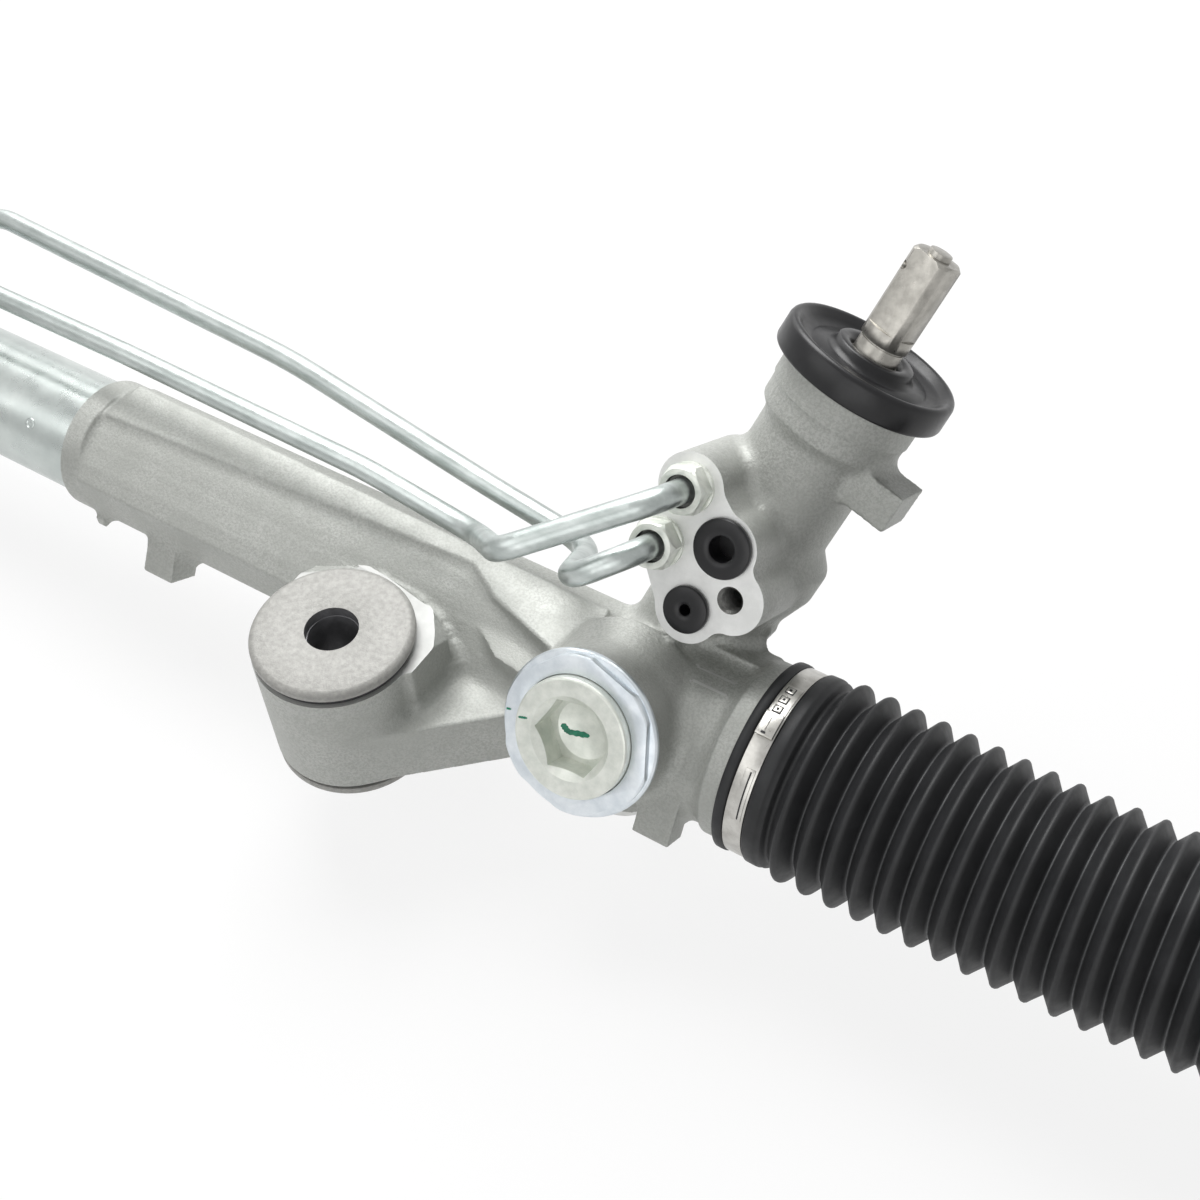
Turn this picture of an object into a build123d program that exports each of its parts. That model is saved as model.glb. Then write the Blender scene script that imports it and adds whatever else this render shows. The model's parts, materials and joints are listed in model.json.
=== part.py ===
from build123d import *
from math import acos, cos, degrees, pi, radians, sin, tan
import os

# A hydraulic rack and pinion steering gear in millimetres.
# The origin is the centre of the lower seat of the pinion-side mounting bush.
# +X runs along the rack towards the pinion-side boot, +Z is up along the bush
# bore and +Y points away from the side that carries the mounting ears.

# Where the rack line crosses the pinion, seen from the origin
pinion_x = 103.0
rack_y = 57.0
rack_z = 27.5

# Angles of the yoke plug and of the valve tower
plug_tilt = 31.0
tower_lean = 16.0

# Gear mesh
teeth = 8
module = 2.0
pressure_angle = 20.0
profile_shift = 0.5
backlash = 0.10
centre_distance = 18.0
rack_radius = 14.0
travel = 74.0
stop_gap = 2.0

# Cast housing along the rack, measured from the pinion crossing
collar_end = 287.0
lug_inset = 50.0
lug_length = 16.8
nub_inset = 16.0
collar_width = 10.0
collar_radius = 30.4
spigot_radius = 24.6
spigot_length = 18.0
rack_bore = 16.0
land_height = 29.4
neck_barrel_end = 44.0
neck_start = 47.5
neck_radius = 36.3
barrel_radius = 32.0
boot_start = 54.6
boot_seat_radius = 35.0
housing_end = boot_start + 25.4

# Yoke, its plug and its locknut, measured from the rack axis
yoke_radius = 20.0
yoke_boss_radius = 31.5
yoke_boss_face = 47.0
foot_x = 22.4
foot_length = 16.0
foot_drop = 40.0
plug_radius = 23.8
plug_face = 56.4
nut_radius = 32.9
nut_face = 52.4
socket_flats = 27.0

# Valve tower, measured up the pinion shaft from the rack crossing
tower_radius = 24.2
head_radius = 28.4
rim_radius = 30.4
tower_top = 156.5
band_low = 130.5
band_high = 139.5
valve_radius = 19.5
valve_bottom = 46.0
valve_top = 108.0
bulge_radius = 30.3
port_face = 44.0
lobe_radius = 13.2
cap_radius = 34.4
cap_bottom = 150.8
cap_top = 162.5
shaft_radius = 9.525
shaft_tip = 204.0
torsion_radius = 4.4

# Ports on the valve block: sideways place and height up the tower
return_port = (2.5, 85.5)
pressure_port = (3.2, 57.1)
bolt_hole = (15.1, 70.9)
upper_pipe_port = (-20.0, 96.4)
lower_pipe_port = (-18.9, 72.0)
return_hole_radius = 9.0
pressure_hole_radius = 8.0
bolt_radius = 4.25
pipe_hole_radius = 7.0

# Mounting ears and bushes
bush_height = 66.5
bush_flange = 4.4
bush_lip = 2.8
bush_disc_radius = 32.4
bush_bore_radius = 24.0
sleeve_radius = 14.0
bolt_bore_radius = 10.6
boss_radius = 32.7
plate_top = 36.5
far_mount_x = -470.0

# Hydraulic cylinder
tube_radius = 27.25
tube_bore = 23.0
inner_bulkhead_end = 405.0
inner_bulkhead_start = 327.0
port_offset = 12.0
piston_width = 14.0
chamber_spare = 25.0
pipe_radius = 4.75
elbow = 13.0
nut_flats = 17.0

# Boots
socket_reach = 17.3
peak_radius = 39.8
valley_radius = 34.2
boot_wall = 1.8
boot_swell = 1.0
first_peak = 26.9
bellows_peaks = 9
neck_peaks = 8
band_width = 8.0
band_thickness = 0.8
tie_rod_rise = 4.5

# Inner tie rods
ball_radius = 14.5
seat_wall = 1.6
socket_radius = 21.0
rod_radius = 8.6
rod_length = 265.0
thread_radius = 9.0
run_out_radius = 8.7
thread_length = 75.0
fit_gap = 0.03

tilt = radians(plug_tilt)
lean = radians(tower_lean)
crossing = Vector(pinion_x, rack_y, rack_z)
along = Vector(1, 0, 0)
plug_dir = Vector(0, -cos(tilt), sin(tilt))
rise_dir = Vector(0, sin(tilt), cos(tilt))
shaft_dir = rise_dir * cos(lean) + along * sin(lean)

rack_line = Plane(origin=crossing, x_dir=(0, 1, 0), z_dir=(1, 0, 0))
left_line = Plane(origin=crossing, x_dir=(0, 1, 0), z_dir=(-1, 0, 0))
yoke_line = Plane(origin=crossing, x_dir=(1, 0, 0), z_dir=plug_dir)
shaft_line = Plane(origin=crossing - plug_dir * centre_distance, x_dir=plug_dir, z_dir=shaft_dir)
mesh_plane = Plane(origin=crossing, x_dir=(1, 0, 0), z_dir=rise_dir)
fin_plane = Plane(origin=crossing - plug_dir * 20.0, x_dir=(1, 0, 0), z_dir=plug_dir)
near_seat = Plane(origin=(0, 0, 0), x_dir=(1, 0, 0), z_dir=(0, 0, 1))
far_seat = Plane(origin=(pinion_x + far_mount_x, 0, 0), x_dir=(1, 0, 0), z_dir=(0, 0, 1))

ball_reach = housing_end - boot_start + travel + stop_gap + socket_reach
pitch = (ball_reach - first_peak) / (bellows_peaks - 0.5)
right_ball = boot_start + ball_reach
rack_right_end = housing_end + travel + stop_gap
right_chamber = inner_bulkhead_end
piston_x = right_chamber + chamber_spare + piston_width / 2 + travel
left_chamber = piston_x + travel + piston_width / 2 + 16.0
left_boot_start = left_chamber + 14.0
left_end = left_boot_start + 25.4
rack_left_end = left_end + travel + stop_gap
left_ball = left_boot_start + ball_reach
inner_port_x = right_chamber + port_offset
outer_port_x = left_chamber - port_offset


def rod(frame, radius, start, end):
    return Solid.make_cylinder(radius, end - start, frame.offset(start))


def ring(frame, outer, inner, start, end):
    return rod(frame, outer, start, end) - rod(frame, inner, start, end)


def taper(frame, first, last, start, end):
    return Solid.make_cone(first, last, end - start, frame.offset(start))


def block(frame, low, high):
    """A box between two corners given in the frame's own coordinates."""
    corner = frame.from_local_coords(Vector(*low))
    where = Plane(origin=corner, x_dir=frame.x_dir, z_dir=frame.z_dir)
    size = [b - a for a, b in zip(low, high)]
    return Solid.make_box(size[0], size[1], size[2], where)


def moved_to(frame, x, y, z=0.0, z_dir=None, x_dir=None):
    """A frame shifted in its own coordinates, turned when directions are given."""
    origin = frame.from_local_coords(Vector(x, y, z))
    return Plane(origin=origin, x_dir=x_dir or frame.x_dir, z_dir=z_dir or frame.z_dir)


def hexagon(frame, flats, start, end):
    outline = RegularPolygon(flats / 2, 6, major_radius=False)
    return extrude(frame.offset(start) * outline, end - start)


def spun(frame, angle):
    """The same frame turned about its own z."""
    turn = radians(angle)
    x_dir = frame.x_dir * cos(turn) + frame.y_dir * sin(turn)
    return Plane(origin=frame.origin, x_dir=x_dir, z_dir=frame.z_dir)


def ball(frame, radius, height=0.0):
    return Solid.make_sphere(radius, frame.offset(height), angle1=-90, angle2=90)


def joined(*pieces):
    return Part() + [piece for piece in pieces]


def turned(frame, points):
    """A closed profile of (radius, height) pairs turned about the frame's axis."""
    outline = make_face(Polyline(*[(r, 0, h) for r, h in points], close=True))
    return revolve(outline, Axis.Z).moved(frame.location)


def prism(frame, points, start, end):
    outline = make_face(Polyline(*[(x, y, 0) for x, y in points], close=True))
    return extrude(frame.offset(start) * outline, end - start)


def piped(points, radius, bends):
    """A round tube along straight runs joined by bends, one radius a corner."""
    runs = [Vector(*p) for p in points]
    bent = bend_wire(runs, bends)
    start = Plane(origin=bent @ 0, z_dir=bent % 0)
    return sweep(start * Circle(radius), path=bent)


def bend_wire(runs, bends):
    """Straight runs whose corners are replaced by tangent arcs."""
    edges = []
    here = runs[0]
    for before, corner, after, bend in zip(runs, runs[1:], runs[2:], bends):
        back = (before - corner).normalized()
        ahead = (after - corner).normalized()
        turn = pi - acos(max(-1.0, min(1.0, back.dot(ahead))))
        cut = bend * tan(turn / 2)
        first = corner + back * cut
        last = corner + ahead * cut
        middle_dir = (back + ahead).normalized()
        centre = corner + middle_dir * (bend / cos(turn / 2))
        middle = centre - middle_dir * bend
        edges.append(Edge.make_line(here, first))
        edges.append(Edge.make_three_point_arc(first, middle, last))
        here = last
    edges.append(Edge.make_line(here, runs[-1]))
    return Wire(edges)


# Mounting bushes

def bush_sleeves(seat):
    """Two flanged steel sleeves, one pushed in from each side."""
    middle = bush_height / 2
    lower = ring(seat, bush_disc_radius - 1.4, bolt_bore_radius, 0, bush_flange)
    lower = joined(lower, ring(seat, sleeve_radius, bolt_bore_radius, 0, middle - 0.8))
    chamfer_face = ring(seat, bush_disc_radius, bolt_bore_radius, 1.4, bush_flange)
    lower = joined(lower, chamfer_face, taper_ring(seat, 0, 1.4))
    upper = lower.mirror(Plane(origin=(0, 0, middle), z_dir=(0, 0, 1)))
    return Compound([lower.solids()[0], upper.solids()[0]])


def taper_ring(seat, start, end):
    return taper(seat, bush_disc_radius - 2.9, bush_disc_radius, start, end) - rod(
        seat, bolt_bore_radius, start, end
    )


def bush_rubbers(seat):
    """Two bonded rubber halves whose lips bulge between flange and ear."""
    middle = bush_height / 2
    lip_top = bush_flange + bush_lip
    lower = ring(seat, bush_disc_radius - 0.9, sleeve_radius, bush_flange, lip_top)
    lower = joined(lower, ring(seat, bush_bore_radius, sleeve_radius, lip_top, middle - 2.0))
    upper = lower.mirror(Plane(origin=(0, 0, middle), z_dir=(0, 0, 1)))
    return Compound([lower.solids()[0], upper.solids()[0]])


def ear(seat):
    lip_top = bush_flange + bush_lip
    return rod(seat, boss_radius, lip_top, bush_height - lip_top)


def ear_bore(seat):
    lip_top = bush_flange + bush_lip
    return rod(seat, bush_bore_radius, lip_top, bush_height - lip_top)


# Cast housing

def tunnel():
    """The long cast tunnel around the rack, faceted, with a raised top land."""
    side = [
        (16.0, 23.5), (-7.9, 23.5), (-17.0, 21.4), (-25.0, 15.8), (-31.0, 9.8), (-31.0, 8.4),
        (-29.6, -9.0), (-21.5, -22.0), (-10.0, -28.6), (12.0, -28.6),
        (24.0, -20.0), (29.0, -8.0), (29.0, 10.0), (24.0, 20.0),
    ]
    body = prism(rack_line, side, collar_width + 1.5 - collar_end, neck_barrel_end)
    neck = rod(rack_line, 27.0, -collar_end, 0)
    collar = rod(rack_line, collar_radius, -collar_end, collar_width - collar_end)
    return joined(body, neck, collar, top_land())


def top_land():
    """Flat raised strip along the top, wider where it runs into the yoke boss."""
    left = collar_width + 3.0 - collar_end
    strip = [(left, -5.6), (-81.0, 4.6), (-64.0, -6.0), (-31.0, -16.0), (-20.0, -16.0), (-20.0, 12.0), (left, 16.5)]
    plan = Plane(origin=crossing, x_dir=(1, 0, 0), z_dir=(0, 0, 1))
    saddle = [(-84.0, -4.0), (-50.0, -26.0), (-20.0, -30.0), (-20.0, 0.0)]
    return joined(prism(plan, strip, 8.0, land_height), prism(plan, saddle, 2.0, 22.0))


def rack_neck():
    """Round neck that the boot closes on, with a spigot for its bead."""
    barrel = rod(rack_line, barrel_radius, 0, neck_barrel_end)
    blend = taper(rack_line, barrel_radius, neck_radius, neck_barrel_end, neck_start)
    neck = rod(rack_line, neck_radius, neck_start, boot_start - 0.4)
    land = block(mesh_plane, (8.0, -4.0, 24.0), (neck_start, 12.0, neck_radius - 1.0))
    spigot = rod(rack_line, boot_seat_radius, boot_start - 0.4, housing_end)
    return joined(barrel, blend, neck, land, spigot)


def yoke_boss():
    boss = rod(yoke_line, yoke_boss_radius, 0, yoke_boss_face)
    root = taper(yoke_line, yoke_boss_radius + 5.0, yoke_boss_radius, 14.0, 30.0)
    foot = block(mesh_plane, (foot_x, -27.6, -foot_drop), (foot_x + foot_length, -15.2, -8.0))
    return joined(boss, root, foot)


def pinion_case():
    """Round case around the pinion with a boss for the lower bearing."""
    case = rod(shaft_line, 25.0, -46.0, 60.0)
    lower = rod(shaft_line, 24.0, -50.0, -40.0)
    return joined(case, lower)


def valve_tower():
    body = rod(shaft_line, tower_radius, 20.0, band_low)
    root = taper(shaft_line, tower_radius, head_radius - 0.7, band_low - 4.0, band_low)
    band = rod(shaft_line, head_radius - 0.7, band_low, band_high)
    head = rod(shaft_line, head_radius, band_high, cap_bottom + 1.0)
    rim = rod(shaft_line, rim_radius, cap_bottom + 0.1, tower_top)
    bulge = rod(shaft_line, bulge_radius, 68.0, 79.0)
    bulge = joined(bulge, taper(shaft_line, bulge_radius, tower_radius, 79.0, 87.0))
    bulge = joined(bulge, taper(shaft_line, tower_radius, bulge_radius, 51.0, 68.0))
    return joined(body, root, band, head, rim, bulge)


def port_frame(place, depth=port_face):
    return moved_to(shaft_line, depth, place[0], place[1], z_dir=plug_dir, x_dir=shaft_dir)


def port_block():
    """Lobed block: one lobe for each port around a flat machined face."""
    reach = port_face - 4.0
    pieces = []
    for place in (return_port, pressure_port, bolt_hole, upper_pipe_port):
        pieces.append(rod(port_frame(place), lobe_radius, -reach, 0))
    pieces.append(rod(port_frame(lower_pipe_port), lobe_radius - 2.0, -reach, 0))
    low_y = lower_pipe_port[0] - 3.0
    core = [
        (low_y, lower_pipe_port[1] - 9.0), (pressure_port[0] - 8.0, pressure_port[1] - 9.0),
        (bolt_hole[0] + 4.0, bolt_hole[1] - 9.0), (return_port[0] + 10.0, return_port[1] + 6.0),
        (upper_pipe_port[0] + 6.0, upper_pipe_port[1] + 9.0), (low_y, upper_pipe_port[1]),
    ]
    face = moved_to(shaft_line, port_face, 0, 0, z_dir=plug_dir, x_dir=shaft_line.y_dir)
    flipped = [(y, -z) if face.y_dir.dot(shaft_dir) < 0 else (y, z) for y, z in core]
    pieces.append(prism(face, flipped, -reach, 0))
    return joined(*pieces)


def casting_lugs():
    """Plain cast lugs that locate the casting for machining."""
    lug_start, nub_start = lug_inset - collar_end, nub_inset - collar_end
    floor_lug = block(mesh_plane, (lug_start, -24.0, -38.0), (lug_start + lug_length, -8.0, -12.0))
    nub = block(rack_line, (-31.5, -16.0, nub_start), (-26.0, -11.5, nub_start + 5.0))
    tower_lug = block(shaft_line, (-8.0, 14.0, 115.0), (14.0, 41.0, 130.0))
    fin = prism(fin_plane, [(8.0, 28.0), (34.0, 30.5), (39.5, 42.0), (39.0, 45.5), (30.0, 56.0), (8.0, 56.0)], 0, 7.0)
    return joined(floor_lug, nub, tower_lug, fin)


def ear_arms(seat):
    """Webs that carry an ear back to the tunnel."""
    low = bush_flange + bush_lip
    high = bush_height - low
    web = [(-32.7, 0.0), (-34.5, 30.0), (-12.0, 37.5), (5.0, 37.0), (22.0, 33.0), (35.5, 25.5), (35.5, 2.0)]
    upper_web = prism(seat, web, low + 0.5, high)
    shoulder = [(-34.5, 20.0), (-44.0, 40.0), (46.0, 40.0), (35.5, 20.0)]
    lower_web = prism(seat, shoulder, low + 6.0, high - 18.0)
    plate = [(22.2, -24.0), (90.0, 38.5), (90.0, 48.0), (10.0, 48.0), (0.0, 0.0)]
    floor = prism(seat, plate, low + 0.8, plate_top)
    return joined(upper_web, lower_web, floor)


def casting_bores():
    """Everything that is machined out of the casting."""
    yield rod(rack_line, spigot_radius, -collar_end, spigot_length - collar_end)
    yield taper(rack_line, 22.5, rack_bore, spigot_length - collar_end, spigot_length + 8.0 - collar_end)
    yield rod(rack_line, rack_bore, spigot_length + 8.0 - collar_end, housing_end)
    yield rod(rack_line, 25.0, boot_start + 2.0, housing_end)
    yield rod(yoke_line, yoke_radius + fit_gap, 0, yoke_boss_face)
    yield rod(yoke_line, plug_radius, 36.0, yoke_boss_face)
    yield rod(yoke_line, nut_radius + 1.0, yoke_boss_face, yoke_boss_face + 25.0)
    yield rod(shaft_line, 13.0, -20.0, 20.0)
    yield rod(shaft_line, 17.5, -32.0, -20.0)
    yield rod(shaft_line, 20.0, -50.0, -32.0)
    yield rod(shaft_line, 14.5, 20.0, 36.0)
    yield rod(shaft_line, 16.0, 36.0, valve_bottom - 2.0)
    yield rod(shaft_line, valve_radius + fit_gap, valve_bottom - 2.0, 112.0)
    yield rod(shaft_line, 21.0, 112.0, tower_top)
    yield ear_bore(near_seat)
    yield rod(port_frame(return_port), return_hole_radius, -(port_face - 12.0), 0)
    yield rod(port_frame(pressure_port), pressure_hole_radius, -(port_face - 12.0), 0)
    yield rod(port_frame(bolt_hole), bolt_radius, -18.0, 0)
    yield rod(port_frame(return_port), 4.0, -port_face, 0)
    yield rod(port_frame(pressure_port), 3.0, -port_face, 0)
    for place in (upper_pipe_port, lower_pipe_port):
        yield rod(port_frame(place), pipe_hole_radius, -14.0, 0)
        yield rod(port_frame(place), 2.5, -port_face, -13.0)


def gear_housing():
    body = joined(
        tunnel(), rack_neck(), yoke_boss(), pinion_case(), valve_tower(), port_block(),
        casting_lugs(), ear(near_seat), ear_arms(near_seat),
    )
    for tool in casting_bores():
        body -= tool
    return body


# Hydraulic cylinder

def tube_port_frame(x, angle):
    """A frame on the tube axis whose z points out through a port boss."""
    outward = Vector(0, cos(radians(angle)), sin(radians(angle)))
    return Plane(origin=crossing - along * x, x_dir=(1, 0, 0), z_dir=outward)


inner_port = tube_port_frame(inner_port_x, 35.0)
outer_port = tube_port_frame(outer_port_x, 60.0)


def cylinder_tube():
    tube = ring(left_line, tube_radius, tube_bore, collar_end, left_boot_start - 6.0)
    spigot = ring(left_line, spigot_radius, tube_bore, collar_end - spigot_length, collar_end)
    tube = joined(tube, spigot)
    for port in (inner_port, outer_port):
        tube -= rod(port, 3.0, 0, tube_radius + 2.0)
    return tube


def tube_ports():
    """Two threaded bosses welded onto the tube."""
    solids = []
    for port in (inner_port, outer_port):
        boss = joined(rod(port, 9.5, 20.0, 34.0), taper(port, 9.5, 8.0, 34.0, 36.0))
        boss -= rod(port, 6.0, 29.0, 36.0)
        boss -= rod(port, 3.0, 15.0, 36.0)
        solids.append((boss - rod(left_line, tube_radius, 300.0, left_boot_start)).solids()[0])
    return Compound(solids)


def far_bracket():
    """Cast ear bracket clamped around the tube."""
    low = bush_flange + bush_lip
    high = bush_height - low
    centre = -far_mount_x
    hub = rod(left_line, 32.0, centre - 24.0, centre + 24.0)
    web = [(-31.0, 6.0), (-24.0, 50.0), (24.0, 50.0), (31.0, 6.0)]
    arm = prism(far_seat, web, low + 6.0, high - 8.0)
    body = joined(hub, ear(far_seat), arm)
    body -= rod(left_line, tube_radius, centre - 30.0, centre + 30.0)
    return body - ear_bore(far_seat)


def inner_bulkhead():
    """Long guide staked into the tube on the pinion side of the cylinder."""
    body = ring(left_line, tube_bore, rack_radius + 0.5, inner_bulkhead_start, inner_bulkhead_end)
    seat = rod(left_line, 19.5, inner_bulkhead_end - 10.0, inner_bulkhead_end)
    groove = ring(left_line, tube_bore, 21.6, 332.0, 338.0)
    return body - seat - groove


def inner_seal():
    end = inner_bulkhead_end
    return ring(left_line, 19.5, rack_radius + fit_gap, end - 10.0, end - 1.0)


def outer_bulkhead():
    """End housing with the rack bushing and the boot spigot."""
    body = rod(left_line, tube_bore, left_chamber, left_boot_start - 6.0)
    collar = rod(left_line, neck_radius, left_boot_start - 6.0, left_boot_start - 0.4)
    spigot = rod(left_line, boot_seat_radius, left_boot_start - 0.4, left_end)
    body = joined(body, collar, spigot)
    body -= rod(left_line, rack_radius + fit_gap, left_chamber, left_end)
    body -= rod(left_line, 19.0, left_chamber, left_chamber + 10.0)
    return body - rod(left_line, 25.0, left_boot_start + 6.0, left_end)


def outer_seal():
    return ring(left_line, 19.0, rack_radius + fit_gap, left_chamber + 1.0, left_chamber + 10.0)


def piston():
    low = piston_x - piston_width / 2
    body = ring(left_line, tube_bore - 0.25, rack_radius, low, low + piston_width)
    return body - ring(left_line, tube_bore, tube_bore - 3.5, piston_x - 2.5, piston_x + 2.5)


def piston_ring():
    return ring(left_line, tube_bore - fit_gap, tube_bore - 3.4, piston_x - 2.4, piston_x + 2.4)


# Rack and pinion mesh

pitch_radius = teeth * module / cos(lean) / 2
transverse = tan(radians(pressure_angle)) / cos(lean)


def transverse_angle():
    low, high = 0.0, pi / 3
    for _ in range(60):
        middle = (low + high) / 2
        low, high = (middle, high) if tan(middle) < transverse else (low, middle)
    return (low + high) / 2


pressure_t = transverse_angle()
base_radius = pitch_radius * cos(pressure_t)
pinion_tip = pitch_radius + module * (1 + profile_shift) - 0.42
pinion_root = pitch_radius + module * (profile_shift - 1.25)
reference_line = centre_distance - pitch_radius - module * profile_shift
rack_tip_line = reference_line + 0.93 * module
rack_root_line = centre_distance - pinion_tip - 0.45


def involute(angle):
    return tan(angle) - angle


def flank(radius):
    """Half of the tooth's angular width at a radius."""
    half = (pi / 2 + 2 * profile_shift * tan(radians(pressure_angle))) / teeth
    half -= backlash / 4 / pitch_radius
    roll = acos(min(1.0, base_radius / radius))
    return half + involute(pressure_t) - involute(roll)


def polar(radius, angle):
    return (radius * cos(angle), radius * sin(angle), 0)


def pinion_section():
    """One transverse slice of the pinion: involute flanks and round roots."""
    edges = []
    steps = [base_radius + 0.01 + (pinion_tip - base_radius - 0.01) * i / 7 for i in range(8)]
    pitch_turn = 2 * pi / teeth
    for tooth in range(teeth):
        middle = tooth * pitch_turn
        up = [polar(r, middle - flank(r)) for r in steps]
        down = [polar(r, middle + flank(r)) for r in reversed(steps)]
        low = flank(steps[0]) + 0.012
        foot_in = polar(pinion_root, middle - low)
        foot_out = polar(pinion_root, middle + low)
        next_foot = polar(pinion_root, middle + pitch_turn - low)
        valley = polar(pinion_root, middle + pitch_turn / 2)
        edges.append(Edge.make_line(foot_in, up[0]))
        edges.append(Edge.make_spline(up))
        edges.append(Edge.make_three_point_arc(up[-1], polar(pinion_tip, middle), down[0]))
        edges.append(Edge.make_spline(down))
        edges.append(Edge.make_line(down[-1], foot_out))
        edges.append(Edge.make_three_point_arc(foot_out, valley, next_foot))
    return Wire(edges)


def pinion_gear(start, end):
    """The helical toothed part; its helix equals the lean of the tower."""
    twist = -degrees(tan(lean) / pitch_radius)
    wire = pinion_section().rotate(Axis.Z, twist * start)
    gear = Solid.extrude_linear_with_rotation(
        wire, (0, 0, 0), (0, 0, end - start), twist * (end - start)
    )
    return gear.moved(shaft_line.offset(start).location)


def pinion():
    gear = pinion_gear(-15.0, 15.0)
    tail = joined(
        rod(shaft_line, 8.5, -30.0, -15.0), rod(shaft_line, 7.0, -44.0, -30.0),
        rod(shaft_line, 10.5, -19.8, -15.0),
    )
    body = joined(
        rod(shaft_line, 9.5, 15.0, 20.0), rod(shaft_line, 11.0, 20.0, 37.0),
        rod(shaft_line, 15.5, 37.5, valve_bottom - 2.5), rod(shaft_line, 14.2, 43.0, 56.0),
        rod(shaft_line, 12.0, 36.0, 38.0),
    )
    body -= rod(shaft_line, torsion_radius + fit_gap, 18.0, 60.0)
    body -= rod(shaft_line, 9.6, 44.0, 56.0)
    pin_line = moved_to(shaft_line, 0, 0, 50.0, z_dir=plug_dir, x_dir=shaft_dir)
    return joined(gear, tail, body) - rod(pin_line, 1.5, -15.0, 15.0)


def rack_bar():
    bar = rod(rack_line, rack_radius, -rack_left_end, rack_right_end)
    bar -= rod(rack_line, 9.0, rack_right_end - 24.0, rack_right_end)
    bar -= rod(rack_line, 9.0, -rack_left_end, 24.0 - rack_left_end)
    space = module * pi
    reach = travel + 14.0
    count = int(reach / space)
    slope = tan(radians(pressure_angle))
    low = rack_root_line
    high = rack_radius + 1.0
    side = space / 4 + backlash / 4
    for step in range(-count, count + 1):
        middle = step * space
        bottom = side - slope * (reference_line - low)
        top = side + slope * (rack_tip_line - reference_line)
        gap = [(middle - bottom, low), (middle + bottom, low),
               (middle + top, rack_tip_line), (middle + top, high),
               (middle - top, high), (middle - top, rack_tip_line)]
        cut = prism(tooth_plane, gap, -20.0, 20.0)
        bar -= cut
    flat = block(tooth_plane, (-reach, rack_tip_line, -20.0), (reach, high, 20.0))
    return bar - flat


tooth_plane = Plane(origin=crossing, x_dir=(1, 0, 0), z_dir=rise_dir * -1)
if tooth_plane.y_dir.dot(plug_dir) > 0:
    tooth_plane = Plane(origin=crossing, x_dir=(1, 0, 0), z_dir=rise_dir)


# Yoke

def yoke():
    body = rod(yoke_line, yoke_radius, 4.0, 33.0)
    body -= rod(rack_line, rack_radius + 1.2, -25.0, 25.0)
    body -= rod(yoke_line, 11.0, 22.0, 33.0)
    return body - ring(yoke_line, yoke_radius, yoke_radius - 2.2, 26.0, 29.0)


def yoke_liner():
    """Low-friction strip between the yoke and the back of the rack."""
    liner = ring(rack_line, rack_radius + 1.2, rack_radius + fit_gap, -16.0, 16.0)
    return liner & block(yoke_line, (-16.0, -11.5, 6.5), (16.0, 11.5, 20.0))


def yoke_seal():
    centre = yoke_line.offset(27.5)
    return Solid.make_torus(yoke_radius - 1.1, 1.05, centre)


def yoke_spring():
    length = 16.0
    wire = 1.25
    path = Edge.make_helix(pitch=4.4, height=length - 2 * wire, radius=8.0)
    frame = Plane(origin=path @ 0, z_dir=path % 0)
    coil = sweep(frame * Circle(wire), path=path, is_frenet=True)
    return coil.moved(yoke_line.offset(22.2 + wire).location)


def yoke_plug():
    body = rod(yoke_line, plug_radius, 36.2, plug_face - 0.8)
    body = joined(body, taper(yoke_line, plug_radius, plug_radius - 0.8, plug_face - 0.8, plug_face))
    body -= hexagon(yoke_line, socket_flats, plug_face - 12.0, plug_face)
    body -= taper(yoke_line, socket_flats / 2, 16.6, plug_face - 2.6, plug_face)
    body -= taper(yoke_line, 2.0, 11.5, plug_face - 14.5, plug_face - 12.0)
    return body - rod(yoke_line, 10.5, 36.2, 38.4)


def yoke_locknut():
    flange = rod(yoke_line, nut_radius, yoke_boss_face, yoke_boss_face + 2.6)
    head = hexagon(yoke_line, 58.0, yoke_boss_face + 2.6, nut_face)
    head = head & rod(yoke_line, nut_radius - 1.2, yoke_boss_face + 2.0, nut_face)
    return joined(flange, head) - rod(yoke_line, plug_radius, yoke_boss_face, nut_face)


# Lower bearing

def lower_bearing_outer():
    body = ring(shaft_line, 17.5, 14.6, -30.0, -20.0)
    return body - Solid.make_torus(13.0, 2.85, shaft_line.offset(-25.0))


def lower_bearing_inner():
    body = ring(shaft_line, 11.4, 8.5, -30.0, -20.0)
    return body - Solid.make_torus(13.0, 2.85, shaft_line.offset(-25.0))


def bearing_balls():
    places = [moved_to(spun(shaft_line, 40.0 * step), 13.0, 0, -25.0) for step in range(9)]
    return Compound([ball(place, 2.8) for place in places])


def pinion_nut():
    return hexagon(shaft_line, 19.0, -39.0, -30.0) - rod(shaft_line, 7.0, -39.0, -30.0)


def lower_cap():
    body = rod(shaft_line, 20.0, -50.0, -32.0) - rod(shaft_line, 13.5, -47.0, -32.0)
    return joined(body, rod(shaft_line, 23.0, -53.0, -50.0)) - hexagon(shaft_line, 17.0, -53.0, -49.5)


# Rotary valve

def pinion_bearing():
    return ring(shaft_line, 14.5, 11.0 + fit_gap, 22.0, 34.0)


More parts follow.
